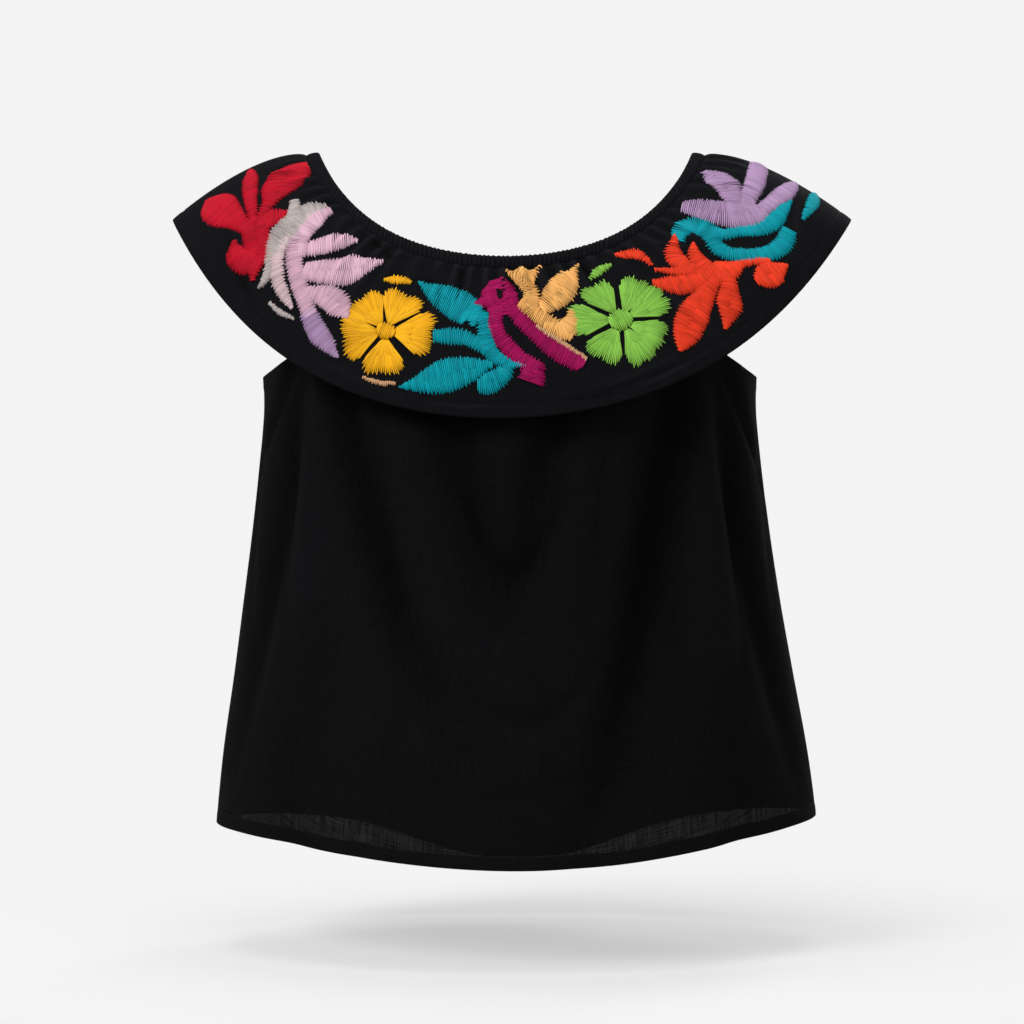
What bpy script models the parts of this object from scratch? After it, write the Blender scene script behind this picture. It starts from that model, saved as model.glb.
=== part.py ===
"""Peasant blouse in thin black cotton, worn off the shoulders.

A ruched neck casing carries a broad flounce, which hangs over the shoulders, and a flared
body, which is cut away at the armholes. The blouse keeps its filled-out shape, hollow and
open at the neck, the armholes and the hem.

Metres, +Z up. The origin is in the middle of the neck opening at shoulder height, the front
faces -Y, and +X is the wearer's left. A turn is the angle round the body from the centre
front: a quarter turn is the wearer's left shoulder, and a half turn is the centre back.
"""
import math

import bpy
import numpy as np

# Cloth
CLOTH = 0.0012               # thickness of a wall
TURNED_HEM = 0.0022          # thickness where the edge is turned up
SEAM_GAP = 0.0003            # between two pieces at a seam
QUARTER = math.pi / 2

# Neck casing: its upper edge dips from the shoulders to the centre front and back
NECK_HALF_WIDTH = 0.151
NECK_SHIFT = -0.0052
NECK_DEPTH = {"front": 0.100, "back": 0.094}
NECK_DROP = {"front": 0.092, "back": 0.085}
NECK_CURVE_SHOULDER = 1.75
NECK_CURVE_CENTRE = 1.07
CASING_HEIGHT = 0.0105
CASING_LEAN_SHOULDER = math.radians(8)
CASING_LEAN_CENTRE = math.radians(72)
CASING_INNER = -0.0017
CASING_OUTER = 0.0013
CASING_CROWN = 0.0024
RIBS = 70                    # ruched ribs on each half
RIB_HEIGHT = 0.0009

# Flounce: where its wall is sewn on, its free edge and its spring away from the body
FLOUNCE_SEAT = 0.0009
FLOUNCE_HALF_WIDTH = 0.2746
FLOUNCE_DEPTH = {"front": 0.157, "back": 0.150}
FLOUNCE_SHOULDER_DROP = 0.053
FLOUNCE_FALL = {"front": 0.166, "back": 0.160}
FLOUNCE_CURVE_SHOULDER = 2.05
FLOUNCE_CURVE_CENTRE = 1.30
FLOUNCE_LEAN = math.radians(2)   # the flounce hangs lowest a little to the wearer's right
FLOUNCE_SPRING_SHOULDER = 0.011
FLOUNCE_SPRING_CENTRE = 0.006
FLOUNCE_SPRING_START = 0.75
GATHERS = 30                 # gathers on each half of the flounce
GATHER_HEIGHT = 0.0013
GATHER_FADE = 0.22
FLOUNCE_ROWS = (0.0, 0.035, 0.09, 0.17, 0.30, 0.48, 0.70, 0.915, 0.925, 1.0)
FLOUNCE_HEM_FROM = 0.92

# Body: it falls from the casing to a level ring at the bust, and through level rings from
# there to the hem. It is cut away from the armhole's top, a turn, to the underarm, a share
# of the way from the casing to the bust
BODY_SEAT = -0.0010
BUST = -0.215
ARMHOLE_TOP = math.radians(55)
ARMHOLE_SQUARENESS = 7       # a larger power gives the armhole a flatter bottom
UNDERARM_SHARE = 0.855
HEM_SIDE = -0.5375
HEM_SIDE_LEAN = 0.0030       # the hem is higher on the wearer's left and lower on the right
HEM_CENTRE = {"front": -0.561, "back": -0.562}
HEM_CURVE = 3.2
BACK_TAIL = 0.022            # the back hem hangs lower at the centre
BACK_TAIL_HALF_WIDTH = math.radians(20)
HEM_BAND = 0.011
SECTIONS = (
    # height, half width, shift, front depth, back depth
    (-0.180, 0.1998, -0.0018, 0.1300, 0.1050),
    (-0.192, 0.1986, -0.0016, 0.1335, 0.1062),
    (-0.240, 0.2019, -0.0015, 0.1415, 0.1100),
    (-0.300, 0.2085, -0.0009, 0.1430, 0.1150),
    (-0.360, 0.2168, -0.0001, 0.1440, 0.1205),
    (-0.420, 0.2260, 0.0014, 0.1455, 0.1270),
    (-0.480, 0.2358, 0.0027, 0.1470, 0.1330),
    (-0.530, 0.2418, 0.0036, 0.1480, 0.1375),
    (-0.600, 0.2480, 0.0042, 0.1500, 0.1420),
)
UPPER_ROWS = (0.0, 0.10, 0.22, 0.36, 0.50, 0.64, 0.77, 0.89, 1.0)
LOWER_ROWS = (0.09, 0.19, 0.29, 0.39, 0.49, 0.59, 0.69, 0.79, 0.89)
FLOUNCE_COLUMNS = 2 * GATHERS
CASING_COLUMNS = 2 * RIBS
BODY_COLUMNS = {"front": 12, "back": 11}     # from the centre to the armhole's top
SIDE_COLUMNS = (0.02, 0.07, 0.16, 0.30, 0.50, 0.75, 1.0)     # from there to the side seam

# Long folds that fall from the gathers and the armholes: turns in degrees, heights and
# sizes in metres, and a depth above nothing for a trough
FOLDS = {
    "front": (
        # turn at top, turn at bottom, top, bottom, half width, depth
        (-38, -11, -0.110, -0.500, 0.030, 0.0075),
        (36, 10, -0.110, -0.575, 0.034, 0.0110),
        (-53, -68, -0.150, -0.520, 0.022, 0.0060),
        (54, 66, -0.150, -0.530, 0.022, 0.0065),
        (-16, -2, -0.120, -0.380, 0.024, 0.0060),
        (14, 1, -0.120, -0.370, 0.022, 0.0060),
        (-24, -26, -0.160, -0.600, 0.030, -0.0040),
        (22, 27, -0.160, -0.600, 0.030, -0.0045),
        (-76, -58, -0.185, -0.330, 0.013, 0.0045),
        (76, 60, -0.185, -0.360, 0.013, 0.0050),
        (-44, -46, -0.360, -0.620, 0.030, 0.0060),
        (45, 44, -0.400, -0.620, 0.026, 0.0050),
    ),
    "back": (
        (-40, -30, -0.110, -0.620, 0.030, 0.0080),
        (38, 26, -0.110, -0.620, 0.032, 0.0085),
        (-14, -8, -0.120, -0.560, 0.026, 0.0070),
        (12, 4, -0.120, -0.480, 0.024, 0.0065),
        (-62, -66, -0.150, -0.540, 0.024, 0.0060),
        (60, 64, -0.150, -0.580, 0.022, 0.0060),
        (-25, -20, -0.160, -0.600, 0.028, -0.0040),
        (26, 15, -0.160, -0.600, 0.028, -0.0040),
    ),
}

BLACK_COTTON = (0.0075, 0.0075, 0.0090, 1.0)
CASING_COTTON = (0.0085, 0.0085, 0.0105, 1.0)


def side_of(turn):
    """The half of the blouse that a turn lies in."""
    return "front" if math.cos(turn) >= 0 else "back"


def unit(vector):
    return vector / np.linalg.norm(vector)


def section(height, column):
    """One column of the table of sections at any height, on a smooth curve through its rows."""
    rows = SECTIONS
    lower = 0
    while lower < len(rows) - 2 and height < rows[lower + 1][0]:
        lower += 1
    first, second = rows[lower], rows[lower + 1]
    before = rows[max(lower - 1, 0)]
    after = rows[min(lower + 2, len(rows) - 1)]
    step = second[0] - first[0]
    share = min(max((height - first[0]) / step, 0.0), 1.0)
    slope_one = (second[column] - before[column]) / (second[0] - before[0]) * step
    slope_two = (after[column] - first[column]) / (after[0] - first[0]) * step
    square, cube = share ** 2, share ** 3
    return (first[column] * (2 * cube - 3 * square + 1) + slope_one * (cube - 2 * square + share)
            + second[column] * (3 * square - 2 * cube) + slope_two * (cube - square))


def casing_point(turn, along, away):
    """A point of the neck: along runs down the casing, and away runs out of the cloth."""
    depth, drop = NECK_DEPTH[side_of(turn)], NECK_DROP[side_of(turn)]
    level = abs(math.cos(turn))
    curve = NECK_CURVE_SHOULDER + (NECK_CURVE_CENTRE - NECK_CURVE_SHOULDER) * level
    edge = np.array((NECK_SHIFT + NECK_HALF_WIDTH * math.sin(turn),
                     -depth * math.cos(turn),
                     -drop * level ** curve))
    outward = unit(np.array((math.sin(turn) / NECK_HALF_WIDTH, -math.cos(turn) / depth, 0.0)))
    up = np.array((0.0, 0.0, 1.0))
    lean = CASING_LEAN_SHOULDER + (CASING_LEAN_CENTRE - CASING_LEAN_SHOULDER) * level ** 0.8
    down_the_casing = math.cos(lean) * outward - math.sin(lean) * up
    out_of_the_cloth = math.sin(lean) * outward + math.cos(lean) * up
    return edge + along * down_the_casing + away * out_of_the_cloth


def casing_out(turn):
    return casing_point(turn, 0, 1) - casing_point(turn, 0, 0)


def flounce_hem(turn):
    """The free edge of the flounce."""
    side = side_of(turn)
    level = abs(math.cos(turn + FLOUNCE_LEAN * math.cos(turn)))
    curve = FLOUNCE_CURVE_SHOULDER + (FLOUNCE_CURVE_CENTRE - FLOUNCE_CURVE_SHOULDER) * level
    return np.array((FLOUNCE_HALF_WIDTH * math.sin(turn),
                     -FLOUNCE_DEPTH[side] * math.cos(turn),
                     -FLOUNCE_SHOULDER_DROP - FLOUNCE_FALL[side] * level ** curve))


def flounce_point(turn, share):
    """The middle of the flounce's wall, from the casing (0) to the free edge (1)."""
    top = casing_point(turn, CASING_HEIGHT + SEAM_GAP, FLOUNCE_SEAT)
    fall = flounce_hem(turn) - top
    out = casing_out(turn)
    springing = unit(out - out.dot(unit(fall)) * unit(fall))
    level = abs(math.cos(turn))
    spring = FLOUNCE_SPRING_SHOULDER + (FLOUNCE_SPRING_CENTRE - FLOUNCE_SPRING_SHOULDER) * level
    arch = share ** FLOUNCE_SPRING_START
    gather_fade = min(share / 0.05, 1.0) * math.exp(-(share / GATHER_FADE) ** 2)
    uneven = 1.0 + 0.35 * math.sin(5.0 * turn + 0.7) + 0.2 * math.sin(11.0 * turn)
    gather = GATHER_HEIGHT * uneven * gather_fade * math.cos(2 * GATHERS * (turn - QUARTER))
    return top + share * fall + (4 * spring * arch * (1 - arch) + gather) * springing


def armhole_share(turn):
    """Where the body's cloth starts, from the casing (0) to the bust (1)."""
    from_side = QUARTER - abs(math.asin(math.sin(turn)))
    reach = min(from_side / (QUARTER - ARMHOLE_TOP), 1.0)
    return UNDERARM_SHARE * (1.0 - reach ** 2) ** (1.0 / ARMHOLE_SQUARENESS)


def hem_height(turn):
    side = side_of(turn)
    at_side = HEM_SIDE + HEM_SIDE_LEAN * math.sin(turn)
    height = at_side + (HEM_CENTRE[side] - at_side) * abs(math.cos(turn)) ** HEM_CURVE
    if side == "back":
        height -= BACK_TAIL * math.exp(-(math.asin(math.sin(turn)) / BACK_TAIL_HALF_WIDTH) ** 2)
    return height


def ring_point(turn, height):
    """A level ring of the body."""
    depth = section(height, 3 if side_of(turn) == "front" else 4)
    return np.array((section(height, 2) + section(height, 1) * math.sin(turn),
                     -depth * math.cos(turn), height))


def fold_depth(turn, height):
    """How far the long folds draw the cloth in at a place on the body."""
    side = side_of(turn)
    angle = math.degrees(turn if side == "front" else math.asin(math.sin(turn)))
    total = 0.0
    for turn_top, turn_bottom, top, bottom, half_width, depth in FOLDS[side]:
        run = (top - height) / (top - bottom)
        if 0.0 < run < 1.0:
            middle = turn_top + (turn_bottom - turn_top) * run ** 0.9
            reach = math.degrees(half_width / section(min(height, BUST), 1))
            bell = math.exp(-((angle - middle) / reach) ** 2)
            total += depth * bell * math.sin(math.pi * run ** 0.7) ** 0.8
    return total


def fold_direction(turn):
    return unit(np.array((math.sin(turn), -1.4 * math.cos(turn), 0.0)))


def upper_body_point(turn, share):
    """The middle of the body's wall, from the casing (0) to the bust (1)."""
    small = 0.002
    top = casing_point(turn, CASING_HEIGHT + SEAM_GAP, BODY_SEAT)
    bottom = ring_point(turn, BUST)
    reach = np.linalg.norm(bottom - top) / 3
    fall = casing_point(turn, 1, 0) - casing_point(turn, 0, 0)
    below = (ring_point(turn, BUST - small) - bottom) / small
    first = top + reach * fall
    second = bottom - reach * below
    rest = 1.0 - share
    point = (rest ** 3 * top + 3 * rest ** 2 * share * first
             + 3 * rest * share ** 2 * second + share ** 3 * bottom)
    return point - fold_depth(turn, point[2]) * fold_direction(turn)


def lower_body_point(turn, share):
    """The middle of the body's wall, from the bust (0) to the hem (1)."""
    height = BUST + (hem_height(turn) - BUST) * share
    return ring_point(turn, height) - fold_depth(turn, height) * fold_direction(turn)


def outward_normal(surface, turn, share, centre):
    """Unit normal of a surface of turn and share. At a side edge it is taken just inside."""
    step = 0.002
    reach = QUARTER - 2 * step
    inside = centre + min(max(turn - centre, -reach), reach)
    across = surface(inside + step, share) - surface(inside - step, share)
    down = surface(inside, min(share + step, 1.0)) - surface(inside, max(share - step, 0.0))
    return unit(np.cross(down, across))


def flounce_wall(side):
    """Middle, outward normals and thickness of one half of the flounce, row by row."""
    centre = 0.0 if side == "front" else math.pi
    turns = [centre + QUARTER * (2 * column / FLOUNCE_COLUMNS - 1)
             for column in range(FLOUNCE_COLUMNS + 1)]
    middle = [[flounce_point(turn, share) for turn in turns] for share in FLOUNCE_ROWS]
    outward = [[outward_normal(flounce_point, turn, share, centre) for turn in turns]
               for share in FLOUNCE_ROWS]
    outward[0] = [casing_out(turn) for turn in turns]
    thickness = [TURNED_HEM if share > FLOUNCE_HEM_FROM else CLOTH for share in FLOUNCE_ROWS]
    return np.array(middle), np.array(outward), thickness


def body_wall(side):
    """Middle, outward normals and thickness of one body panel, row by row."""
    centre = 0.0 if side == "front" else math.pi
    columns = BODY_COLUMNS[side]
    half = [ARMHOLE_TOP * column / columns for column in range(columns + 1)]
    half += [ARMHOLE_TOP + (QUARTER - ARMHOLE_TOP) * share for share in SIDE_COLUMNS]
    turns = [centre - turn for turn in half[:0:-1]] + [centre + turn for turn in half]
    starts = [armhole_share(turn) for turn in turns]
    band = HEM_BAND / (BUST - HEM_SIDE)
    rows = [(upper_body_point, [start + (1.0 - start) * row for start in starts], CLOTH)
            for row in UPPER_ROWS]
    rows += [(lower_body_point, [row] * len(turns), CLOTH) for row in LOWER_ROWS]
    rows += [(lower_body_point, [1.0 - band - 0.003] * len(turns), CLOTH)]
    rows += [(lower_body_point, [row] * len(turns), TURNED_HEM) for row in (1.0 - band, 1.0)]
    middle, outward, thickness = [], [], []
    for surface, shares, thick in rows:
        middle.append([surface(turn, share) for turn, share in zip(turns, shares)])
        outward.append([outward_normal(surface, turn, share, centre)
                        for turn, share in zip(turns, shares)])
        thickness.append(thick)
    return np.array(middle), np.array(outward), thickness


def close_seam(middle, outward, side):
    """Bring both side edges of a half to its own side of the seam."""
    seam = -SEAM_GAP / 2 if side == "front" else SEAM_GAP / 2
    for column in (0, -1):
        middle[:, column, 1] = seam
        outward[:, column, 1] = 0.0
        outward[:, column] /= np.linalg.norm(outward[:, column], axis=1, keepdims=True)


def wall_mesh(name, middle, outward, thickness):
    """A closed wall: the outer face keeps to the cloth's form, and the inner face thickens."""
    rows, columns = middle.shape[:2]
    outer = middle + outward * CLOTH / 2
    inward = np.array(thickness)[:, None, None] - CLOTH / 2
    inner = middle - outward * inward
    points = np.concatenate((outer.reshape(-1, 3), inner.reshape(-1, 3)))
    inner_start = rows * columns
    faces = []
    for row in range(rows - 1):
        for column in range(columns - 1):
            a = row * columns + column
            b, c, d = a + 1, a + columns + 1, a + columns
            faces += [(a, d, c), (a, c, b)]
            faces += [(a + inner_start, c + inner_start, d + inner_start),
                      (a + inner_start, b + inner_start, c + inner_start)]
    edge = [column for column in range(columns)]
    edge += [row * columns + columns - 1 for row in range(1, rows)]
    edge += [(rows - 1) * columns + column for column in range(columns - 2, -1, -1)]
    edge += [row * columns for row in range(rows - 2, 0, -1)]
    for here, after in zip(edge, edge[1:] + edge[:1]):
        faces += [(here, after, after + inner_start), (here, after + inner_start, here + inner_start)]
    return make_mesh(name, points, faces)


def casing_mesh(name, side):
    """Half of the ruched tube: raised ribs outside, plain inside."""
    start = 0.0 if side == "front" else math.pi
    seam = -SEAM_GAP / 2 if side == "front" else SEAM_GAP / 2
    points, faces = [], []
    for column in range(CASING_COLUMNS + 1):
        turn = start + QUARTER * (2 * column / CASING_COLUMNS - 1)
        rib = RIB_HEIGHT * (column % 2)
        profile = (
            # along, away
            (0.0005, CASING_INNER + 0.0004),
            (-0.4 * rib, CASING_OUTER - 0.0003),
            (0.30 * CASING_HEIGHT, CASING_CROWN + rib),
            (0.75 * CASING_HEIGHT, CASING_CROWN + 0.7 * rib),
            (CASING_HEIGHT, FLOUNCE_SEAT + CLOTH / 2 + 0.4 * rib),
            (CASING_HEIGHT, CASING_INNER),
        )
        for along, away in profile:
            point = casing_point(turn, along, away)
            if column in (0, CASING_COLUMNS):
                point[1] = seam
            points.append(point)
    sides = len(profile)
    for column in range(CASING_COLUMNS):
        for corner in range(sides):
            a = column * sides + corner
            b = column * sides + (corner + 1) % sides
            c, d = b + sides, a + sides
            faces += [(a, b, c), (a, c, d)]
    last = CASING_COLUMNS * sides
    for corner in range(1, sides - 1):
        faces.append((0, corner + 1, corner))
        faces.append((last, last + corner, last + corner + 1))
    return make_mesh(name, points, faces)


def make_mesh(name, points, faces):
    mesh = bpy.data.meshes.new(name)
    mesh.from_pydata([tuple(point) for point in points], [], faces)
    mesh.update()
    mesh.shade_smooth()
    mesh.set_sharp_from_angle(angle=math.radians(50))
    return mesh


def cotton(name, colour, roughness):
    material = bpy.data.materials.new(name)
    material.use_nodes = True
    shader = material.node_tree.nodes["Principled BSDF"]
    shader.inputs["Base Color"].default_value = colour
    shader.inputs["Roughness"].default_value = roughness
    shader.inputs["Metallic"].default_value = 0.0
    return material


def add_piece(mesh, colour, roughness):
    piece = bpy.data.objects.new(mesh.name, mesh)
    mesh.materials.append(cotton(mesh.name + "_cotton", colour, roughness))
    bpy.context.collection.objects.link(piece)


def main():
    for old in list(bpy.data.objects):
        bpy.data.objects.remove(old)
    for side in ("front", "back"):
        middle, outward, thickness = body_wall(side)
        close_seam(middle, outward, side)
        add_piece(wall_mesh("body_" + side, middle, outward, thickness), BLACK_COTTON, 0.85)
        middle, outward, thickness = flounce_wall(side)
        close_seam(middle, outward, side)
        add_piece(wall_mesh("flounce_" + side, middle, outward, thickness), BLACK_COTTON, 0.85)
        add_piece(casing_mesh("neck_casing_" + side, side), CASING_COTTON, 0.9)


main()
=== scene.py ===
# %% [markdown]
# # A peasant blouse in thin black cotton
# The blouse is worn off the shoulders. Elastic in a narrow casing holds it up, a broad
# flounce hangs from the casing over the body, and the flounce carries thick embroidery.
# Each cut piece is modelled as a sheet of cloth that is far thinner than its imported solid.
# The imported solids stay behind it, hidden, and every sheet keeps to their form.

# %% Load the frame
import math

import bpy
import numpy as np
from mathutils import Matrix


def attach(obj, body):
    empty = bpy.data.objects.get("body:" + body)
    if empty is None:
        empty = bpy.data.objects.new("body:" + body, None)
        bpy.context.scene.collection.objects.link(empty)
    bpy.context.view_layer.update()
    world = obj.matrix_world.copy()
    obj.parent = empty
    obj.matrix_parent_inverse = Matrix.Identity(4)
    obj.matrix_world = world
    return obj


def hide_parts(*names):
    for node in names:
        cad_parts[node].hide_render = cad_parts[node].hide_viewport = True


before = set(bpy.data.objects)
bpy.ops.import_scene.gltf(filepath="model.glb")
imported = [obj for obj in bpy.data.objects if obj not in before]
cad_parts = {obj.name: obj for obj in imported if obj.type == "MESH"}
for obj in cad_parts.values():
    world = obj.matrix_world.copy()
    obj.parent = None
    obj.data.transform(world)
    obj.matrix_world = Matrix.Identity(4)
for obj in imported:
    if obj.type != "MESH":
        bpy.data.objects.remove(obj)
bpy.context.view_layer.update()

QUARTER = math.pi / 2
UP = np.array((0.0, 0.0, 1.0))
SIDES = ("front", "back")

# %% [markdown]
# ## The camera
# The blouse is seen straight from the front, at half its height, with a long lens, so its
# sides hardly narrow with distance. The camera stands on the centre line and looks level.

# %% Camera
CAMERA_PLACE = (0.0, -2.1, -0.290)
LENS_MM = 90.8
SENSOR_MM = 36.0

camera_data = bpy.data.cameras.new("camera")
camera_data.lens = LENS_MM
camera_data.sensor_width = SENSOR_MM
camera = bpy.data.objects.new("camera", camera_data)
camera.location = CAMERA_PLACE
camera.rotation_euler = (QUARTER, 0.0, 0.0)
bpy.context.collection.objects.link(camera)
bpy.context.scene.camera = camera

# %% [markdown]
# ## Node trees written as sums
# Materials and Geometry Nodes are both trees of nodes with sockets. Building them by hand in
# a script soon gets long, so one small class makes a node with its settings and inputs, and
# another wraps an output socket. Adding or multiplying wrapped sockets makes Math nodes, and
# an expression in the script then reads like the formula that it stands for.


# %% Helpers for node trees
class Wire:
    """The output of a node. Sums and products of wires add Math nodes to the tree."""

    def __init__(self, tree, socket):
        self.tree = tree
        self.socket = socket

    def math(self, operation, *others):
        sockets = dict(enumerate((self, *others)))
        return self.tree.wire("ShaderNodeMath", {"operation": operation}, sockets)

    def __add__(self, other):
        return self.math("ADD", other)

    def __sub__(self, other):
        return self.math("SUBTRACT", other)

    def __mul__(self, other):
        return self.math("MULTIPLY", other)

    def __truediv__(self, other):
        return self.math("DIVIDE", other)

    def __rsub__(self, other):
        return self.math("MULTIPLY", -1.0).math("ADD", other)

    __radd__ = __add__
    __rmul__ = __mul__


class Tree:
    """A node tree, of a material or of Geometry Nodes."""

    def __init__(self, tree):
        self.tree = tree
        self.tree.nodes.clear()

    def node(self, kind, settings=(), sockets=()):
        """Make a node: its settings first, then values or wires into its sockets."""
        node = self.tree.nodes.new(kind)
        for name, value in dict(settings).items():
            setattr(node, name, value)
        for key, value in dict(sockets).items():
            if isinstance(value, Wire):
                self.tree.links.new(value.socket, node.inputs[key])
            else:
                node.inputs[key].default_value = value
        return node

    def wire(self, kind, settings=(), sockets=(), output=0):
        return Wire(self, self.node(kind, settings, sockets).outputs[output])

    def mix(self, first, second, factor):
        """Mix two colours, each a wire or four numbers."""
        return self.wire("ShaderNodeMix", {"data_type": "RGBA"},
                         {0: factor, 6: first, 7: second}, output=2)

    def between(self, value, low, high, new_low=0.0, new_high=1.0):
        """Map a wire's range, low to high, to a new one, and hold it there."""
        sockets = {0: value, 1: low, 2: high, 3: new_low, 4: new_high}
        return self.wire("ShaderNodeMapRange", {"clamp": True}, sockets)

    def noise(self, place, scale, detail=2.0):
        sockets = {"Vector": place, "Scale": scale, "Detail": detail}
        return self.wire("ShaderNodeTexNoise", {}, sockets, output="Fac")

    def painted(self, name):
        """A value that the piece's mesh carries at every point."""
        return self.wire("ShaderNodeAttribute", {"attribute_name": name}, {}, output="Fac")

    def relief(self, height, strength, distance):
        sockets = {"Strength": strength, "Distance": distance, "Height": height}
        return self.wire("ShaderNodeBump", {}, sockets)

    def stretched(self, place, scale):
        """A pattern's coordinates, stretched by three factors."""
        return self.wire("ShaderNodeMapping", {}, {"Vector": place, "Scale": scale})


# %% [markdown]
# ## Geometry Nodes from a script
# What repeats along a path is made by Geometry Nodes: embroidery thread, topstitching and
# the ribs of the casing. One class builds the group with named inputs and runs it on an
# object. The result is turned into a plain mesh, because an export drops modifiers.


# %% Helper for Geometry Nodes
class Grower(Tree):
    """A Geometry Nodes group with named inputs, ending in Realize Instances and Set Material."""

    KINDS = {float: "NodeSocketFloat", int: "NodeSocketInt", bpy.types.Material: "NodeSocketMaterial"}

    def __init__(self, name, inputs):
        self.group = bpy.data.node_groups.new(name, "GeometryNodeTree")
        super().__init__(self.group)
        interface = self.group.interface
        interface.new_socket("Geometry", in_out="INPUT", socket_type="NodeSocketGeometry")
        interface.new_socket("Geometry", in_out="OUTPUT", socket_type="NodeSocketGeometry")
        self.values = inputs
        for label, value in inputs.items():
            kind = next(self.KINDS[known] for known in self.KINDS if isinstance(value, known))
            interface.new_socket(label, in_out="INPUT", socket_type=kind)
        self.entry = self.node("NodeGroupInput")
        self.shape = self.given("Geometry")

    def given(self, label):
        return Wire(self, self.entry.outputs[label])

    def attribute(self, name, kind="FLOAT"):
        settings = {"data_type": kind}
        return self.wire("GeometryNodeInputNamedAttribute", settings, {"Name": name})

    def scaled(self, vector, factor):
        return self.wire("ShaderNodeVectorMath", {"operation": "SCALE"}, {0: vector, "Scale": factor})

    def store(self, shape, name, value):
        settings = {"data_type": "FLOAT", "domain": "POINT"}
        return self.wire("GeometryNodeStoreNamedAttribute", settings,
                         {"Geometry": shape, "Name": name, "Value": value})

    def end(self, shape):
        real = self.wire("GeometryNodeRealizeInstances", {}, {"Geometry": shape})
        smooth = self.wire("GeometryNodeSetShadeSmooth", {}, {"Geometry": real})
        dressed = self.wire("GeometryNodeSetMaterial", {},
                            {"Geometry": smooth, "Material": self.given("Material")})
        self.node("NodeGroupOutput", {}, {"Geometry": dressed})

    def run(self, piece):
        """Give the piece the group's result as its plain mesh."""
        modifier = piece.modifiers.new("grower", "NODES")
        modifier.node_group = self.group
        for item in self.group.interface.items_tree:
            if item.in_out == "INPUT" and item.name in self.values:
                modifier[item.identifier] = self.values[item.name]
        evaluated = piece.evaluated_get(bpy.context.evaluated_depsgraph_get())
        mesh = bpy.data.meshes.new_from_object(evaluated)
        piece.modifiers.remove(modifier)
        old = piece.data
        piece.data = mesh
        bpy.data.meshes.remove(old)
        mesh.name = piece.name
        return piece


# %% [markdown]
# ## The form of the blouse
# A turn is the angle round the body from the centre front: a quarter turn is the wearer's
# left shoulder. The neck casing is a ring that dips at the front and the back. The flounce
# falls from it to a wide free edge, and the body falls to a level ring at the bust and on
# to the hem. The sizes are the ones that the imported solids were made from, apart from the
# tail of the back hem and the folds. The functions are written for whole arrays of points,
# because the cloth needs a far finer mesh.

# %% Neck casing form
CLOTH_SOLID = 0.0012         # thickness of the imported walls, whose outer face the cloth keeps
SEAM_GAP = 0.0003            # between two sewn pieces
NECK_HALF_WIDTH = 0.151
NECK_SHIFT = -0.0052
NECK_DEPTH = {"front": 0.100, "back": 0.094}
NECK_DROP = {"front": 0.092, "back": 0.085}
NECK_CURVE = (1.75, 1.07)    # at the shoulders and at the centre, as in the next three pairs
CASING_HEIGHT = 0.0105
CASING_LEAN = (math.radians(8), math.radians(72))
CASING_LEAN_CURVE = 0.8


def unit(vectors):
    return vectors / np.linalg.norm(vectors, axis=-1, keepdims=True)


def points(x, y, z):
    return np.stack(np.broadcast_arrays(x, y, z), axis=-1)


def centred(pair, level):
    """From a pair's first value, at the shoulders, to its second, at the centre lines."""
    return pair[0] + (pair[1] - pair[0]) * level


def hermite(share, one, two, slope_one, slope_two):
    """A smooth curve from one value (0) to another (1), with a slope at each."""
    square, cube = share ** 2, share ** 3
    return (one * (2 * cube - 3 * square + 1) + slope_one * (cube - 2 * square + share)
            + two * (3 * square - 2 * cube) + slope_two * (cube - square))


def casing_frame(side, turn):
    """The neck's upper edge, the way down the casing and the way out of its cloth."""
    depth = NECK_DEPTH[side]
    level = np.abs(np.cos(turn))
    edge = points(NECK_SHIFT + NECK_HALF_WIDTH * np.sin(turn),
                  -depth * np.cos(turn),
                  -NECK_DROP[side] * level ** centred(NECK_CURVE, level))
    outward = unit(points(np.sin(turn) / NECK_HALF_WIDTH, -np.cos(turn) / depth, 0.0))
    lean = np.asarray(centred(CASING_LEAN, level ** CASING_LEAN_CURVE))[..., None]
    down = np.cos(lean) * outward - np.sin(lean) * UP
    out = np.sin(lean) * outward + np.cos(lean) * UP
    return edge, down, out


def centre_of(side):
    return 0.0 if side == "front" else math.pi


def from_centre(turn):
    """The angle from the nearer centre line, front or back, towards the wearer's left."""
    return np.arcsin(np.sin(turn))


# %% Flounce form
FLOUNCE_SEAT = 0.0009        # how far out of the casing's middle it is sewn on
FLOUNCE_HALF_WIDTH = 0.2746
FLOUNCE_DEPTH = {"front": 0.157, "back": 0.150}
FLOUNCE_SHOULDER_DROP = 0.053
FLOUNCE_FALL = {"front": 0.166, "back": 0.160}
FLOUNCE_CURVE = (2.05, 1.30)
FLOUNCE_LEAN = math.radians(2)
FLOUNCE_SPRING = (0.011, 0.006)
FLOUNCE_SPRING_START = 0.75


def flounce_hem(side, turn):
    level = np.abs(np.cos(turn + FLOUNCE_LEAN * np.cos(turn)))
    fall = FLOUNCE_FALL[side] * level ** centred(FLOUNCE_CURVE, level)
    return points(FLOUNCE_HALF_WIDTH * np.sin(turn), -FLOUNCE_DEPTH[side] * np.cos(turn),
                  -FLOUNCE_SHOULDER_DROP - fall)


def flounce_form(side, turn, share):
    """The flounce without its gathers, from the casing (0) to the free edge (1)."""
    edge, down, out = casing_frame(side, turn)
    top = edge + (CASING_HEIGHT + SEAM_GAP) * down + FLOUNCE_SEAT * out
    fall = flounce_hem(side, turn) - top
    along = unit(fall)
    springing = unit(out - np.sum(out * along, axis=-1, keepdims=True) * along)
    spring = centred(FLOUNCE_SPRING, np.abs(np.cos(turn)))
    arch = share ** FLOUNCE_SPRING_START
    lift = (4 * spring * arch * (1 - arch))[..., None]
    return top + np.asarray(share)[..., None] * fall + lift * springing, springing


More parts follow.
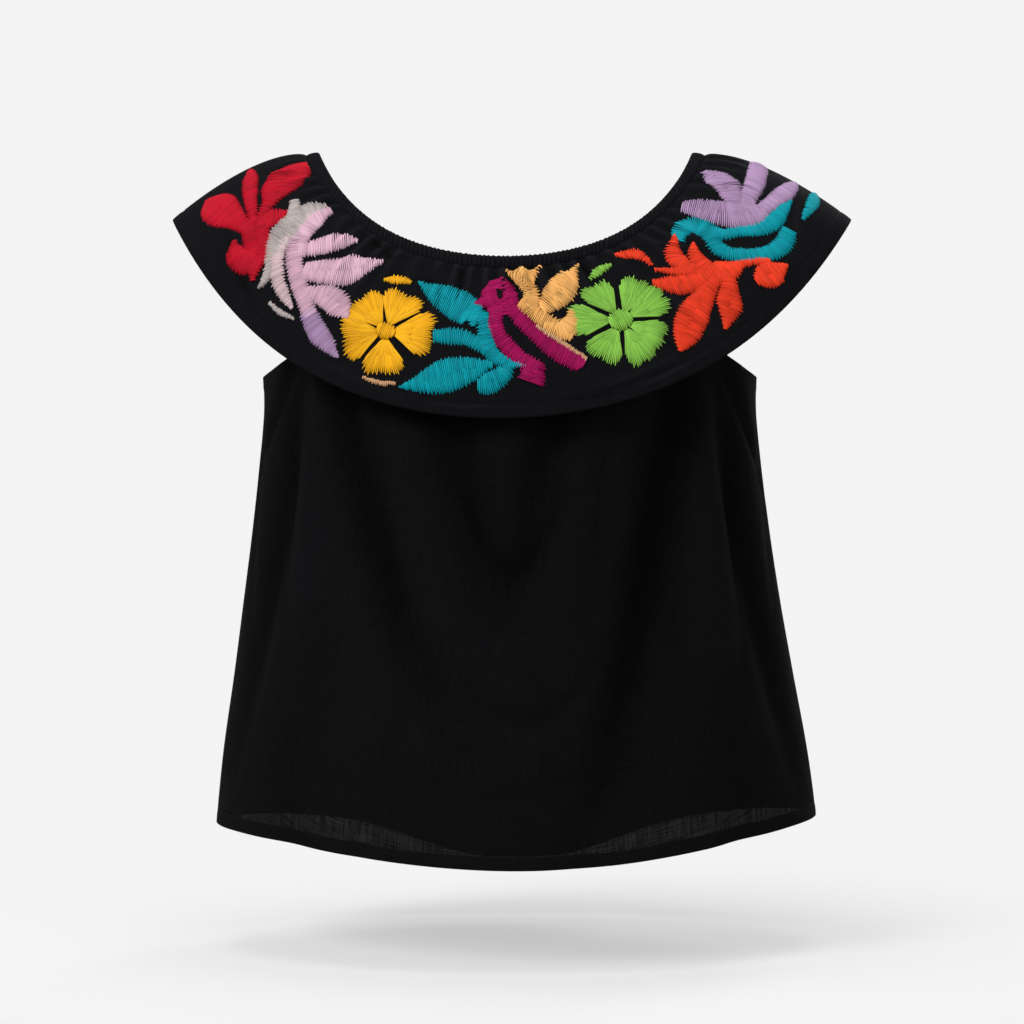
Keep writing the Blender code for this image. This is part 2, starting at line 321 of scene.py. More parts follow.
# %% Body form
BODY_SEAT = -0.0010
BUST = -0.215                # height of the level ring between the upper and the lower body
ARMHOLE_TOP = math.radians(55)
ARMHOLE_SQUARENESS = 7
UNDERARM_SHARE = 0.855
HEM_SIDE = -0.5375
HEM_SIDE_LEAN = 0.0030
HEM_CENTRE = {"front": -0.561, "back": -0.562}
HEM_CURVE = 3.2
BACK_TAIL = 0.027            # 5 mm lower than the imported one, as the photo shows
BACK_TAIL_HALF_WIDTH = math.radians(24)
BACK_TAIL_CURVE = 2.6
FOLD_FORESHORTENING = 1.4
SECTION_COLUMNS = ("height", "half width", "shift", "front", "back")
SECTIONS = np.array((
    # height, half width, shift, front depth, back depth
    (-0.180, 0.1998, -0.0018, 0.1300, 0.1050),
    (-0.192, 0.1986, -0.0016, 0.1335, 0.1062),
    (-0.240, 0.2019, -0.0015, 0.1415, 0.1100),
    (-0.300, 0.2085, -0.0009, 0.1430, 0.1150),
    (-0.360, 0.2168, -0.0001, 0.1440, 0.1205),
    (-0.420, 0.2260, 0.0014, 0.1455, 0.1270),
    (-0.480, 0.2358, 0.0027, 0.1470, 0.1330),
    (-0.530, 0.2418, 0.0036, 0.1480, 0.1375),
    (-0.600, 0.2480, 0.0042, 0.1500, 0.1420),
))


def section(height, name):
    """One column of the sections at any heights, on a smooth curve through the rows."""
    column = SECTIONS[:, SECTION_COLUMNS.index(name)]
    heights = SECTIONS[:, 0]
    last = len(heights) - 1
    lower = np.clip(np.searchsorted(-heights, -height, side="right") - 1, 0, last - 1)
    before, after = np.maximum(lower - 1, 0), np.minimum(lower + 2, last)
    step = heights[lower + 1] - heights[lower]
    share = np.clip((height - heights[lower]) / step, 0.0, 1.0)
    slope_one = (column[lower + 1] - column[before]) / (heights[lower + 1] - heights[before])
    slope_two = (column[after] - column[lower]) / (heights[after] - heights[lower])
    return hermite(share, column[lower], column[lower + 1], slope_one * step, slope_two * step)


def armhole_share(turn):
    """Where the body's cloth starts, from the casing (0) to the bust (1)."""
    from_side = QUARTER - np.abs(from_centre(turn))
    reach = np.minimum(from_side / (QUARTER - ARMHOLE_TOP), 1.0)
    return UNDERARM_SHARE * (1.0 - reach ** 2) ** (1.0 / ARMHOLE_SQUARENESS)


def hem_height(side, turn):
    at_side = HEM_SIDE + HEM_SIDE_LEAN * np.sin(turn)
    height = at_side + (HEM_CENTRE[side] - at_side) * np.abs(np.cos(turn)) ** HEM_CURVE
    if side == "back":
        away = np.abs(from_centre(turn) / BACK_TAIL_HALF_WIDTH)
        height = height - BACK_TAIL * np.exp(-away ** BACK_TAIL_CURVE)
    return height


def ring(side, turn, height):
    return points(section(height, "shift") + section(height, "half width") * np.sin(turn),
                  -section(height, side) * np.cos(turn), height)


# %% [markdown]
# ## Folds of the body
# Cotton this thin hangs in long soft folds. They start where the cloth is bunched under the
# neck elastic and at the armholes, lean outwards or inwards as they fall, and die out
# before the hem. A fold is a trough or a ridge whose middle runs from one turn to another
# while it falls, with a bell-shaped cross section that is deepest in the upper half. Fine
# creases run beside them, and between the two main folds the cloth sags in soft curves.
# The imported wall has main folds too, but shallower and a little further round in places.

# %% Folds
FOLD_BEND = 1.3              # folds turn more as they fall
FOLD_PEAK = 0.7              # below 1, a fold is deepest in its upper half
FOLD_ENDS = 0.8              # below 1, a fold starts and ends more bluntly
FOLDS = {
    "front": (
        # turn at top, turn at bottom, top, bottom, half width, depth (below 0 for a ridge)
        (-47, -7, -0.110, -0.500, 0.019, 0.0125),
        (45, 9, -0.110, -0.580, 0.023, 0.0160),
        (-56, -71, -0.150, -0.520, 0.022, 0.0105),
        (56, 69, -0.150, -0.530, 0.022, 0.0110),
        (-18, 0, -0.120, -0.400, 0.021, 0.0100),
        (13, 0, -0.120, -0.390, 0.018, 0.0100),
        (-54, -38, -0.160, -0.600, 0.022, -0.0040),
        (52, 38, -0.160, -0.600, 0.022, -0.0045),
        (-60, -84, -0.160, -0.270, 0.010, 0.0060),
        (60, 84, -0.160, -0.280, 0.010, 0.0060),
        (-44, -46, -0.360, -0.620, 0.030, 0.0070),
        (45, 44, -0.400, -0.620, 0.026, 0.0060),
    ),
    "back": (
        (-42, -30, -0.110, -0.620, 0.030, 0.0130),
        (40, 26, -0.110, -0.620, 0.032, 0.0140),
        (-15, -8, -0.120, -0.560, 0.026, 0.0110),
        (13, 4, -0.120, -0.480, 0.024, 0.0105),
        (-60, -66, -0.150, -0.540, 0.024, 0.0100),
        (58, 64, -0.150, -0.580, 0.022, 0.0100),
        (-26, -20, -0.160, -0.600, 0.026, -0.0060),
        (27, 15, -0.160, -0.600, 0.026, -0.0060),
    ),
}
FINE_FOLDS = {
    "front": (
        (-31, -19, -0.200, -0.470, 0.009, 0.0024),
        (45, 25, -0.200, -0.520, 0.010, 0.0026),
        (-9, -6, -0.215, -0.400, 0.008, 0.0018),
        (23, 12, -0.200, -0.430, 0.008, 0.0022),
        (-61, -50, -0.200, -0.430, 0.009, 0.0022),
        (63, 49, -0.200, -0.470, 0.009, 0.0024),
        (-86, -68, -0.190, -0.420, 0.010, 0.0028),
        (85, 70, -0.190, -0.400, 0.010, 0.0028),
        (6, 10, -0.400, -0.590, 0.010, 0.0014),
        (-22, -33, -0.430, -0.590, 0.011, 0.0016),
    ),
    "back": (
        (-30, -22, -0.200, -0.500, 0.010, 0.0024),
        (20, 14, -0.210, -0.460, 0.009, 0.0022),
        (48, 40, -0.200, -0.520, 0.010, 0.0024),
        (-52, -58, -0.200, -0.440, 0.010, 0.0022),
        (84, 68, -0.190, -0.430, 0.010, 0.0028),
        (-85, -70, -0.190, -0.400, 0.010, 0.0028),
    ),
}
SAGS = {
    "front": (
        # turn and height of the lowest place, half length in degrees, rise, half width, depth
        (1, -0.338, 12, 0.075, 0.014, 0.0060),
        (2, -0.450, 17, 0.060, 0.009, 0.0028),
        (-4, -0.507, 24, 0.026, 0.008, 0.0014),
    ),
    "back": (
        (-1, -0.370, 13, 0.070, 0.014, 0.0050),
        (3, -0.470, 20, 0.040, 0.010, 0.0022),
    ),
}


def fold_depth(side, turn, height, folds):
    """How far the long folds draw the cloth in at each place of the body."""
    angle = np.degrees(turn if side == "front" else from_centre(turn))
    total = np.zeros(np.broadcast(angle, height).shape)
    radius = section(np.minimum(height, BUST), "half width")
    for turn_top, turn_bottom, top, bottom, half_width, depth in folds:
        run = np.clip((top - height) / (top - bottom), 0.0, 1.0)
        middle = turn_top + (turn_bottom - turn_top) * run ** FOLD_BEND
        bell = np.exp(-((angle - middle) / np.degrees(half_width / radius)) ** 2)
        total = total + depth * bell * np.abs(np.sin(math.pi * run ** FOLD_PEAK)) ** FOLD_ENDS
    return total


def sag_depth(side, turn, height):
    """Folds that hang like a smile between two long ones."""
    angle = np.degrees(from_centre(turn))
    total = np.zeros(np.broadcast(angle, height).shape)
    for middle, lowest, half_length, rise, half_width, depth in SAGS[side]:
        run = np.clip((angle - middle) / half_length, -1.0, 1.0)
        line = lowest + rise * run ** 2
        total = total + depth * (1.0 - run ** 2) * np.exp(-((height - line) / half_width) ** 2)
    return total


def all_folds(side, turn, height):
    return (fold_depth(side, turn, height, FOLDS[side])
            + fold_depth(side, turn, height, FINE_FOLDS[side]) + sag_depth(side, turn, height))


def folded(side, turn, place):
    inwards = -unit(points(np.sin(turn), -FOLD_FORESHORTENING * np.cos(turn), 0.0))
    return place + all_folds(side, turn, place[..., 2])[..., None] * inwards


def upper_body(side, turn, share):
    """The body from the casing (0) to the bust (1), on a curve that leaves both smoothly."""
    small = 0.002            # a short way down the lower body, which gives its slope
    edge, down, out = casing_frame(side, turn)
    top = edge + (CASING_HEIGHT + SEAM_GAP) * down + BODY_SEAT * out
    level = np.zeros(np.shape(turn)) + BUST
    bottom = ring(side, turn, level)
    reach = np.linalg.norm(bottom - top, axis=-1, keepdims=True) / 3
    first = top + reach * down
    second = bottom - reach * (ring(side, turn, level - small) - bottom) / small
    share = np.asarray(share)[..., None]
    rest = 1.0 - share
    place = (rest ** 3 * top + 3 * rest ** 2 * share * first
             + 3 * rest * share ** 2 * second + share ** 3 * bottom)
    return folded(side, turn, place)


def lower_body(side, turn, share):
    """The body from the bust (0) to the hem (1)."""
    height = BUST + (hem_height(side, turn) - BUST) * share
    return folded(side, turn, ring(side, turn, height))


def normals(surface, side, turn, share):
    """Outward normals of a surface. At a side edge they are taken just inside it."""
    step = 0.002
    reach = QUARTER - 2 * step
    inside = centre_of(side) + np.clip(turn - centre_of(side), -reach, reach)
    across = surface(side, inside + step, share) - surface(side, inside - step, share)
    below, above = np.minimum(share + step, 1.0), np.maximum(share - step, 0.0)
    return unit(np.cross(surface(side, inside, below) - surface(side, inside, above), across))


# %% [markdown]
# ## Cloth as a thin closed sheet
# A sheet of cloth could be one layer of faces, but then its edge has no thickness and its
# two sides share one normal. Solidify could thicken it, but evenly, and here the turned
# edges are thicker than the rest. So a grid of points becomes a closed shell: an outer face,
# an inner face a cloth's thickness behind it, and an edge that bulges a little, as a turned
# hem does. The grid's own columns and rows give the UV map, in metres, so the weave keeps
# to the cloth where it is gathered.

# %% Build a cloth shell
COTTON = 0.0006              # thickness of the real cloth and its nap
TURNED = 0.0015              # where an edge is turned up and stitched
RIM_BULGE = 0.4              # of the thickness


def add_object(name, mesh):
    piece = bpy.data.objects.new(name, mesh)
    bpy.context.collection.objects.link(piece)
    return piece


def counted(piece):
    print(piece.name, "faces", len(piece.data.polygons))
    return piece


def new_mesh(name, places, edges=(), faces=()):
    mesh = bpy.data.meshes.new(name)
    mesh.from_pydata(places.reshape(-1, 3).tolist(), np.array(edges).tolist(),
                     np.array(faces).tolist())
    return mesh


def paint(mesh, name, values):
    """Give every point of a mesh a number, or three of them, for materials and nodes to read."""
    kind, field = ("FLOAT_VECTOR", "vector") if np.ndim(values) == 2 else ("FLOAT", "value")
    mesh.attributes.new(name, kind, "POINT").data.foreach_set(field, values.ravel())


def lay_flat(mesh, flat):
    """Give a mesh a UV map from the flat place of every point."""
    corners = np.empty(len(mesh.loops), dtype=np.int32)
    mesh.loops.foreach_get("vertex_index", corners)
    layer = mesh.uv_layers.new(name="UVMap")
    layer.data.foreach_set("uv", flat[corners].astype(np.float32).ravel())


def cloth_shell(name, outer, outward, thickness, metres, values, materials, zones=None):
    """A closed shell from a grid of outer points.

    metres holds the grid's flat places, and values what the material reads at every point:
    fold is 1 in a deep trough and -1 on a ridge, and sheer is 1 where light comes through.
    """
    rows, columns = outer.shape[:2]
    count = rows * columns
    inner = outer - outward * thickness
    index = np.arange(count).reshape(rows, columns)
    a, b = index[:-1, :-1], index[:-1, 1:]
    c, d = index[1:, 1:], index[1:, :-1]
    front_faces = np.stack((a, d, c, b), axis=-1).reshape(-1, 4)
    back_faces = np.stack((a, b, c, d), axis=-1).reshape(-1, 4) + count

    edge = np.concatenate((index[0], index[1:, -1], index[-1, -2::-1], index[-2:0:-1, 0]))
    flat_outer, flat_inner = outer.reshape(-1, 3), inner.reshape(-1, 3)
    middle = (flat_outer[edge] + flat_inner[edge]) / 2
    along = unit(np.roll(middle, -1, axis=0) - np.roll(middle, 1, axis=0))
    bulge = np.cross(outward.reshape(-1, 3)[edge], along)
    depth = np.linalg.norm(flat_outer[edge] - flat_inner[edge], axis=-1, keepdims=True)
    rim = middle + bulge * depth * RIM_BULGE
    rim_index = np.arange(len(edge)) + 2 * count
    following = np.roll(edge, -1)
    rim_following = np.roll(rim_index, -1)
    outer_rim = np.stack((edge, following, rim_following, rim_index), axis=-1)
    inner_rim = np.stack((rim_index, rim_following, following + count, edge + count), axis=-1)

    mesh = new_mesh(name, np.concatenate((flat_outer, flat_inner, rim)),
                    faces=np.concatenate((front_faces, back_faces, outer_rim, inner_rim)))
    flat = metres.reshape(-1, 2)
    lay_flat(mesh, np.concatenate((flat, flat, flat[edge])))
    for label, grid in values.items():
        each = np.clip(grid.ravel(), -1.0, 1.0)
        paint(mesh, label, np.concatenate((each, each, each[edge])))
    for material in materials:
        mesh.materials.append(material)
    if zones is not None:
        cells = zones.reshape(-1)
        edge_cells = np.zeros(2 * len(edge), dtype=cells.dtype) + cells.max()
        mesh.polygons.foreach_set("material_index", np.concatenate((cells, cells, edge_cells)))
    mesh.shade_smooth()
    mesh.update()
    return counted(add_object(name, mesh))


def close_seam(side, outer, outward):
    """Bring both side edges of a half to its own side of the seam."""
    seam = -SEAM_GAP / 2 if side == "front" else SEAM_GAP / 2
    for column in (0, -1):
        outer[:, column, 1] = seam
        outward[:, column, 1] = 0.0
        outward[:, column] = unit(outward[:, column])


# %% [markdown]
# ## Black cotton
# The cloth is a plain weave in black cotton. It is nearly matt, with fine slubs where single
# threads are thicker. Its colour carries a painted highlight on ridges and painted shade in
# troughs, so the sheets carry an attribute that says which is which. In one layer
# the cloth lets a trace of the light behind it through, which is seen only near the hem.

# %% Cotton
THREAD_WAVES = 420.0         # scale of the bands, which puts them 0.75 mm apart
LONG_SLUBS = (1100.0, 45.0, 1.0)     # scales that stretch a slub along the warp, or the weft
CROSS_SLUBS = (45.0, 1100.0, 1.0)
PATCHES = 22.0               # scale of the rubbed patches
WEAVE_STRENGTH = 0.4
WEAVE_RELIEF = 0.0004
SHEERNESS = 0.082            # of each face, so that a layer lets under one percent through
SHEER_STREAKS = 0.080        # how much more or less between thin and thick threads


def new_material(name):
    material = bpy.data.materials.new(name)
    material.use_nodes = True
    return material, Tree(material.node_tree)


def finish_with(tree, shader):
    tree.node("ShaderNodeOutputMaterial", {}, {"Surface": Wire(tree, shader.outputs[0])})


def scaled(colour, factor):
    return tuple(min(part * factor, 1.0) for part in colour[:3]) + (1.0,)


def black_cotton(name, colour, sheen, sheer=False):
    """A plain weave in black cotton: threads with slubs, a soft nap, faint wear, and painted shade in
    troughs with a painted highlight on ridges.
    """
    material, tree = new_material(name)
    place = tree.wire("ShaderNodeUVMap", {"uv_map": "UVMap"})
    warp, weft = (tree.wire("ShaderNodeTexWave", {"bands_direction": way},
                            {"Vector": place, "Scale": THREAD_WAVES, "Distortion": 0.8},
                            output="Fac") for way in ("X", "Y"))
    slubs_down, slubs_across = (tree.noise(tree.stretched(place, slubs), 1.0)
                                for slubs in (LONG_SLUBS, CROSS_SLUBS))
    patches = tree.noise(place, PATCHES, detail=4.0)
    threads = warp * weft
    slubs = slubs_down + slubs_across - 1.0
    shade = tree.between(slubs + threads * 0.3 + patches * 0.25, -0.05, 0.6)
    # Painted shade in troughs and a painted highlight on ridges, read from the fold attribute, on top
    # of the weave's own tone
    tone_and_fold_shade = tree.between(shade * 0.4 - tree.painted("fold") * 0.42, -0.30, 0.86)
    opacity = 1.0
    if sheer:
        streaks = tree.between(slubs, -0.3, 0.3, SHEERNESS + SHEER_STREAKS, SHEERNESS - SHEER_STREAKS)
        opacity = 1.0 - tree.painted("sheer") * streaks
    shader = tree.node("ShaderNodeBsdfPrincipled", {}, {
        "Base Color": tree.mix(scaled(colour, 0.3), scaled(colour, 2.0), tone_and_fold_shade),
        "Roughness": tree.between(patches, 0.3, 0.7, 0.8, 0.95),
        "Specular IOR Level": 0.04,
        "Sheen Weight": sheen,
        "Sheen Roughness": 0.5,
        "Sheen Tint": (0.80, 0.84, 1.0, 1.0),
        "Alpha": opacity,
        "Normal": tree.relief(threads + slubs * 1.5, WEAVE_STRENGTH, WEAVE_RELIEF),
    })
    finish_with(tree, shader)
    return material


BODY_BLACK = (0.0042, 0.0043, 0.0050)
FLOUNCE_BLACK = (0.0042, 0.0043, 0.0053)
BODY_NAP, FLOUNCE_NAP, CASING_NAP = 0.005, 0.010, 0.012
body_cotton = black_cotton("body_cotton", BODY_BLACK, BODY_NAP)
sheer_cotton = black_cotton("sheer_cotton", BODY_BLACK, BODY_NAP, sheer=True)
flounce_cotton = black_cotton("flounce_cotton", FLOUNCE_BLACK, FLOUNCE_NAP)
# The casing's black is the flounce's made 1.25 times paler, a painted highlight of the light on its
# ribs
casing_cotton = black_cotton("casing_cotton", scaled(FLOUNCE_BLACK, 1.25), CASING_NAP)

# %% [markdown]
# ## The body panels
# Each panel runs from the casing, where it is bunched, to a hem turned up and stitched. Its
# cloth starts lower where the armhole is cut away, and that edge is turned too. The stitches
# of the hem press a fine groove into the cloth, between which it puffs a little.

# %% Body panels
PANEL_COLUMNS = 48           # from the centre to the top of the armhole
PANEL_SIDE_COLUMNS = 27      # from there to the side seam, closer together at the armhole
UPPER_ROWS = 70
LOWER_ROWS = 92
BODY_HEM_ROWS = 16           # over the last stretch, so the groove has enough of them
BODY_HEM_STRETCH = 0.955
HEM_BAND = 0.0105
ARMHOLE_BAND = 0.007
ARMHOLE_START = 0.03         # share from the casing where the turned edge begins
SHEER_BAND = 0.085           # above the hem, where one layer hangs alone
SHEER_FADE = 0.040           # the light fades out over the last of it
PANEL_WIDTH = 0.62           # of the flat cloth, which is bunched at the neck
GROOVE = 0.0005
GROOVE_HALF_WIDTH = 0.0011
PUFF = 0.0003
PUCKERS = (640.0, 211.0)     # two rates of puckers along a hem, in radians a metre
PUCKER_SHARE = 0.4           # how much of a puff comes and goes with them
SEAM_TUCK = 0.0016           # how far the sheets' upper edges reach up into the casing
# the painted shade of a trough reaches its darkest at the next depth
DEEP_FOLD = 0.014            # a trough this deep is as dark as it gets
SIDE_CROWDING = 1.7


def panel_turns(side):
    steps = np.arange(1, PANEL_SIDE_COLUMNS + 1) / PANEL_SIDE_COLUMNS
    beyond = ARMHOLE_TOP + (QUARTER - ARMHOLE_TOP) * steps ** SIDE_CROWDING
    half = np.concatenate((np.linspace(0.0, ARMHOLE_TOP, PANEL_COLUMNS + 1), beyond))
    return centre_of(side) + np.concatenate((-half[:0:-1], half))


def travelled(surface_points):
    """How far each point of a grid lies below the top of its column."""
    steps = np.linalg.norm(np.diff(surface_points, axis=0), axis=-1)
    return np.concatenate((np.zeros((1, steps.shape[1])), np.cumsum(steps, axis=0)))


def stitched_hem(above_edge, band, across):
    """Relief of a stitched hem: a groove at its stitches, and puffs between them and the edge."""
    groove = np.exp(-((above_edge - band) / GROOVE_HALF_WIDTH) ** 2)
    inside = np.clip(above_edge / band, 0.0, 1.0)
    waves = np.sin(across * PUCKERS[0]) * np.sin(across * PUCKERS[1] + 1.0)
    puckers = 1.0 - PUCKER_SHARE + PUCKER_SHARE * waves
    return PUFF * puckers * np.sin(math.pi * inside) - GROOVE * groove


def sewn_into_casing(side, turn):
    """Where a sheet's upper edge ends, inside the bottom of the casing's tube."""
    edge, down, _ = casing_frame(side, turn)
    return edge + (CASING_HEIGHT - SEAM_TUCK) * down


def hemmed(side, turn, middle, outward, band, flat_width):
    """A sheet's outer points with its hem sewn, how far each is above the hem, and flat places."""
    close_seam(side, middle, outward)
    below_top = travelled(middle)
    above_hem = below_top[-1] - below_top
    width = (turn - centre_of(side)) / math.pi * flat_width + 0.0 * below_top
    relief = stitched_hem(above_hem, band, width)
    outer = middle + outward * (CLOTH_SOLID / 2 + relief)[..., None]
    return outer, above_hem, np.stack((width, -below_top), axis=-1)


def body_panel(side):
    turn = panel_turns(side)[None, :]
    start = armhole_share(turn)
    upper_share = start + (1.0 - start) * np.linspace(0.0, 1.0, UPPER_ROWS + 1)[:, None]
    fall = np.concatenate((np.linspace(0.0, BODY_HEM_STRETCH, LOWER_ROWS + 1)[1:],
                           np.linspace(BODY_HEM_STRETCH, 1.0, BODY_HEM_ROWS + 1)[1:]))
    lower_share = fall[:, None] + 0.0 * turn
    upper_turn, lower_turn = turn + 0.0 * upper_share, turn + 0.0 * lower_share
    middle = np.concatenate((upper_body(side, upper_turn, upper_share),
                             lower_body(side, lower_turn, lower_share)))
    outward = np.concatenate((normals(upper_body, side, upper_turn, upper_share),
                              normals(lower_body, side, lower_turn, lower_share)))
    sewn = start[0] < 0.001
    middle[0, sewn] = sewn_into_casing(side, turn[0, sewn])
    outer, above_hem, metres = hemmed(side, turn, middle, outward, HEM_BAND, PANEL_WIDTH)
    armhole = (-metres[..., 1] < ARMHOLE_BAND) & (start > ARMHOLE_START)
    thickness = np.where(armhole | (above_hem < HEM_BAND), TURNED, COTTON)[..., None]
    sheer = (above_hem > HEM_BAND) & (above_hem < HEM_BAND + SHEER_BAND)
    # fold gives painted shade in the body's troughs and a painted highlight on its ridges
    values = {"fold": all_folds(side, turn, middle[..., 2]) / DEEP_FOLD,
              "sheer": np.clip((HEM_BAND + SHEER_BAND - above_hem) / SHEER_FADE, 0.0, 1.0)}
    return cloth_shell("body_panel_" + side, outer, outward, thickness, metres, values,
                       [body_cotton, sheer_cotton], zones=sheer[:-1, :-1].astype(np.int32))


body_panels = {side: body_panel(side) for side in SIDES}

# %% [markdown]
# ## The flounce
# The elastic gathers the flounce into small tucks under the casing, uneven in height,
# length and spacing, that die out where the embroidery stiffens the cloth. A few soft
# creases lie between the motifs and along the stitched hem.

# %% Tucks and creases of the flounce
TUCKS = 36                   # round each half
TUCK_HEIGHT = 0.0027
TUCK_FADE = 0.17
RUCHES = 132                 # fine ones, which go on from the ribs of the casing
RUCHE_HEIGHT = 0.0007
RUCHE_FADE = 0.055
RUCHE_WANDER = 2.0
TUCK_START = 0.03            # share over which both rise from the casing
TUCK_AT_SHOULDER = 0.25      # share of their height that is left there, where the neck is slack
UNEVEN_PLACE = ((0.9, 7.0, 0.4), (0.8, 13.0, 2.1))       # each wave's size, rate and start
UNEVEN_LENGTH = ((0.45, 9.0, 1.0), (0.3, 23.0, 0.0))
UNEVEN_HEIGHT = ((0.35, 5.0, 0.7), (0.3, 17.0, 0.0))
FLOUNCE_LENGTH = 0.130       # of the cloth from the casing to the hem, for placing creases
FLOUNCE_REACH = 0.215        # mean distance from the middle, for the same
FLOUNCE_CREASES = {
    "front": (
        # turn and share at one end, turn and share at the other, half width, height
        (14, 0.88, 31, 0.86, 0.0028, 0.0013),
        (19, 0.96, 36, 0.93, 0.0022, 0.0009),
        (8, 0.93, 20, 0.95, 0.0024, -0.0008),
        (-36, 0.90, -20, 0.93, 0.0030, 0.0010),
        (-14, 0.96, -2, 0.94, 0.0022, 0.0008),
        (-17, 0.10, -15, 0.62, 0.0034, 0.0012),
        (-6, 0.06, -2, 0.30, 0.0026, 0.0013),
        (5, 0.05, 12, 0.60, 0.0036, -0.0012),
        (15, 0.06, 11, 0.36, 0.0026, 0.0012),
        (33, 0.30, 37, 0.90, 0.0040, 0.0012),
        (40, 0.06, 46, 0.30, 0.0028, 0.0014),
        (-33, 0.08, -35, 0.45, 0.0030, 0.0014),
        (-50, 0.05, -46, 0.26, 0.0026, 0.0013),
        (-66, 0.72, -48, 0.90, 0.0040, -0.0014),
        (58, 0.86, 72, 0.66, 0.0040, 0.0014),
        (-40, 0.05, -33, 0.07, 0.0017, -0.0018),
        (-35, 0.10, -29, 0.09, 0.0017, -0.0016),
        (-24, 0.17, -15, 0.17, 0.0019, -0.0014),
        (-12, 0.02, -11, 0.28, 0.0019, -0.0016),
        (21, 0.02, 22, 0.26, 0.0019, -0.0018),
        (66, 0.06, 72, 0.40, 0.0036, 0.0012),
        (-72, 0.06, -76, 0.36, 0.0034, 0.0012),
    ),
    "back": (
        (-60, 0.06, -58, 0.40, 0.0032, 0.0014),
        (-40, 0.88, -22, 0.92, 0.0030, 0.0012),
        (-24, 0.06, -20, 0.50, 0.0034, 0.0013),
        (-8, 0.05, -10, 0.34, 0.0026, 0.0013),
        (6, 0.92, 22, 0.89, 0.0026, -0.0010),
        (13, 0.06, 10, 0.55, 0.0034, 0.0012),
        (34, 0.06, 36, 0.40, 0.0030, 0.0014),
        (42, 0.90, 60, 0.82, 0.0036, 0.0013),
        (64, 0.06, 70, 0.38, 0.0034, 0.0012),
    ),
}


def uneven(turn, waves):
    """A smooth unevenness round the neck, as a sum of waves."""
    return sum(size * np.sin(rate * turn + start) for size, rate, start in waves)


def tucks(turn, share):
    """The lift of the tucks and the fine ruches between them."""
    wander = uneven(turn, UNEVEN_PLACE)
    wave = 0.5 + 0.5 * np.cos(2 * TUCKS * (turn - QUARTER) + wander)
    length = TUCK_FADE * (1.0 + uneven(turn, UNEVEN_LENGTH))
    tight = TUCK_AT_SHOULDER + (1.0 - TUCK_AT_SHOULDER) * np.abs(np.cos(turn)) ** 0.7
    height = tight * (1.0 + uneven(turn, UNEVEN_HEIGHT))
    start = np.minimum(share / TUCK_START, 1.0)
    fade = start * np.exp(-(share / length) ** 1.5)
    fine = 0.5 + 0.5 * np.cos(2 * RUCHES * (turn - QUARTER) + RUCHE_WANDER * wander)
    ruches = RUCHE_HEIGHT * fine * start * np.exp(-(share / (RUCHE_FADE * height)) ** 2)
    return TUCK_HEIGHT * height * fade * (1.6 * wave ** 2.2 - 0.6) + ruches


def creases(side, turn, share):
    """The lift of the soft creases: each is a bell across a line, and fades at its ends."""
    across = from_centre(turn) * FLOUNCE_REACH
    down = share * FLOUNCE_LENGTH
    total = np.zeros(np.broadcast(across, down).shape)
    for turn_one, share_one, turn_two, share_two, half_width, height in FLOUNCE_CREASES[side]:
        start = np.array((math.radians(turn_one) * FLOUNCE_REACH, share_one * FLOUNCE_LENGTH))
        end = np.array((math.radians(turn_two) * FLOUNCE_REACH, share_two * FLOUNCE_LENGTH))
        length = np.linalg.norm(end - start)
        ahead = (end - start) / length
        run = ((across - start[0]) * ahead[0] + (down - start[1]) * ahead[1]) / length
        beside = (down - start[1]) * ahead[0] - (across - start[0]) * ahead[1]
        ends = np.sin(math.pi * np.clip(run, 0.0, 1.0)) ** 0.7
        total = total + height * ends * np.exp(-(beside / half_width) ** 2)
    return total


def flounce_surface(side, turn, share):
    form, springing = flounce_form(side, turn, share)
    lift = tucks(turn, share) + creases(side, turn, share)
    return form + lift[..., None] * springing


# %% Flounce
FLOUNCE_COLUMNS = 528
FLOUNCE_ROWS = 46            # down to the hem
FLOUNCE_HEM_ROWS = 16        # over the hem
FLOUNCE_HEM_STRETCH = 0.88
FLOUNCE_HEM = 0.0110
FLOUNCE_WIDTH = 0.80
# tucks and creases this high get the fullest painted highlight, and hollows this deep the fullest
# painted shade
DEEP_CREASE = 0.0016


def flounce_half(side):
    turn = centre_of(side) + np.linspace(-QUARTER, QUARTER, FLOUNCE_COLUMNS + 1)[None, :]
    fall = np.concatenate((np.linspace(0.0, FLOUNCE_HEM_STRETCH, FLOUNCE_ROWS + 1),
                           np.linspace(FLOUNCE_HEM_STRETCH, 1.0, FLOUNCE_HEM_ROWS + 1)[1:]))
    share = fall[:, None] + 0.0 * turn
    turn = turn + 0.0 * share
    middle = flounce_surface(side, turn, share)
    outward = normals(flounce_surface, side, turn, share)
    outward[0] = casing_frame(side, turn[0])[2]
    middle[0] = sewn_into_casing(side, turn[0])
    outer, above_hem, metres = hemmed(side, turn, middle, outward, FLOUNCE_HEM, FLOUNCE_WIDTH)
    thickness = np.where(above_hem < FLOUNCE_HEM, TURNED, COTTON)[..., None]
    # fold gives painted shade between the flounce's tucks and creases and a painted highlight on
    # their crests
    values = {"fold": -(tucks(turn, share) + creases(side, turn, share)) / DEEP_CREASE}
    return cloth_shell("flounce_" + side + "_half", outer, outward, thickness, metres, values,
                       [flounce_cotton])


flounces = {side: flounce_half(side) for side in SIDES}

# %% [markdown]
# ## The neck casing
# The casing is a narrow tube of cloth folded round the elastic. On the elastic it is pushed
# together into close ribs. The tube is a closed shell with an outer and an inner face, and
# Geometry Nodes raise the ribs on it: a wave round the neck whose spacing and height wander,
# strongest on the outer face. They also store painted shade for the valleys between the ribs
# and a painted highlight for their crowns.

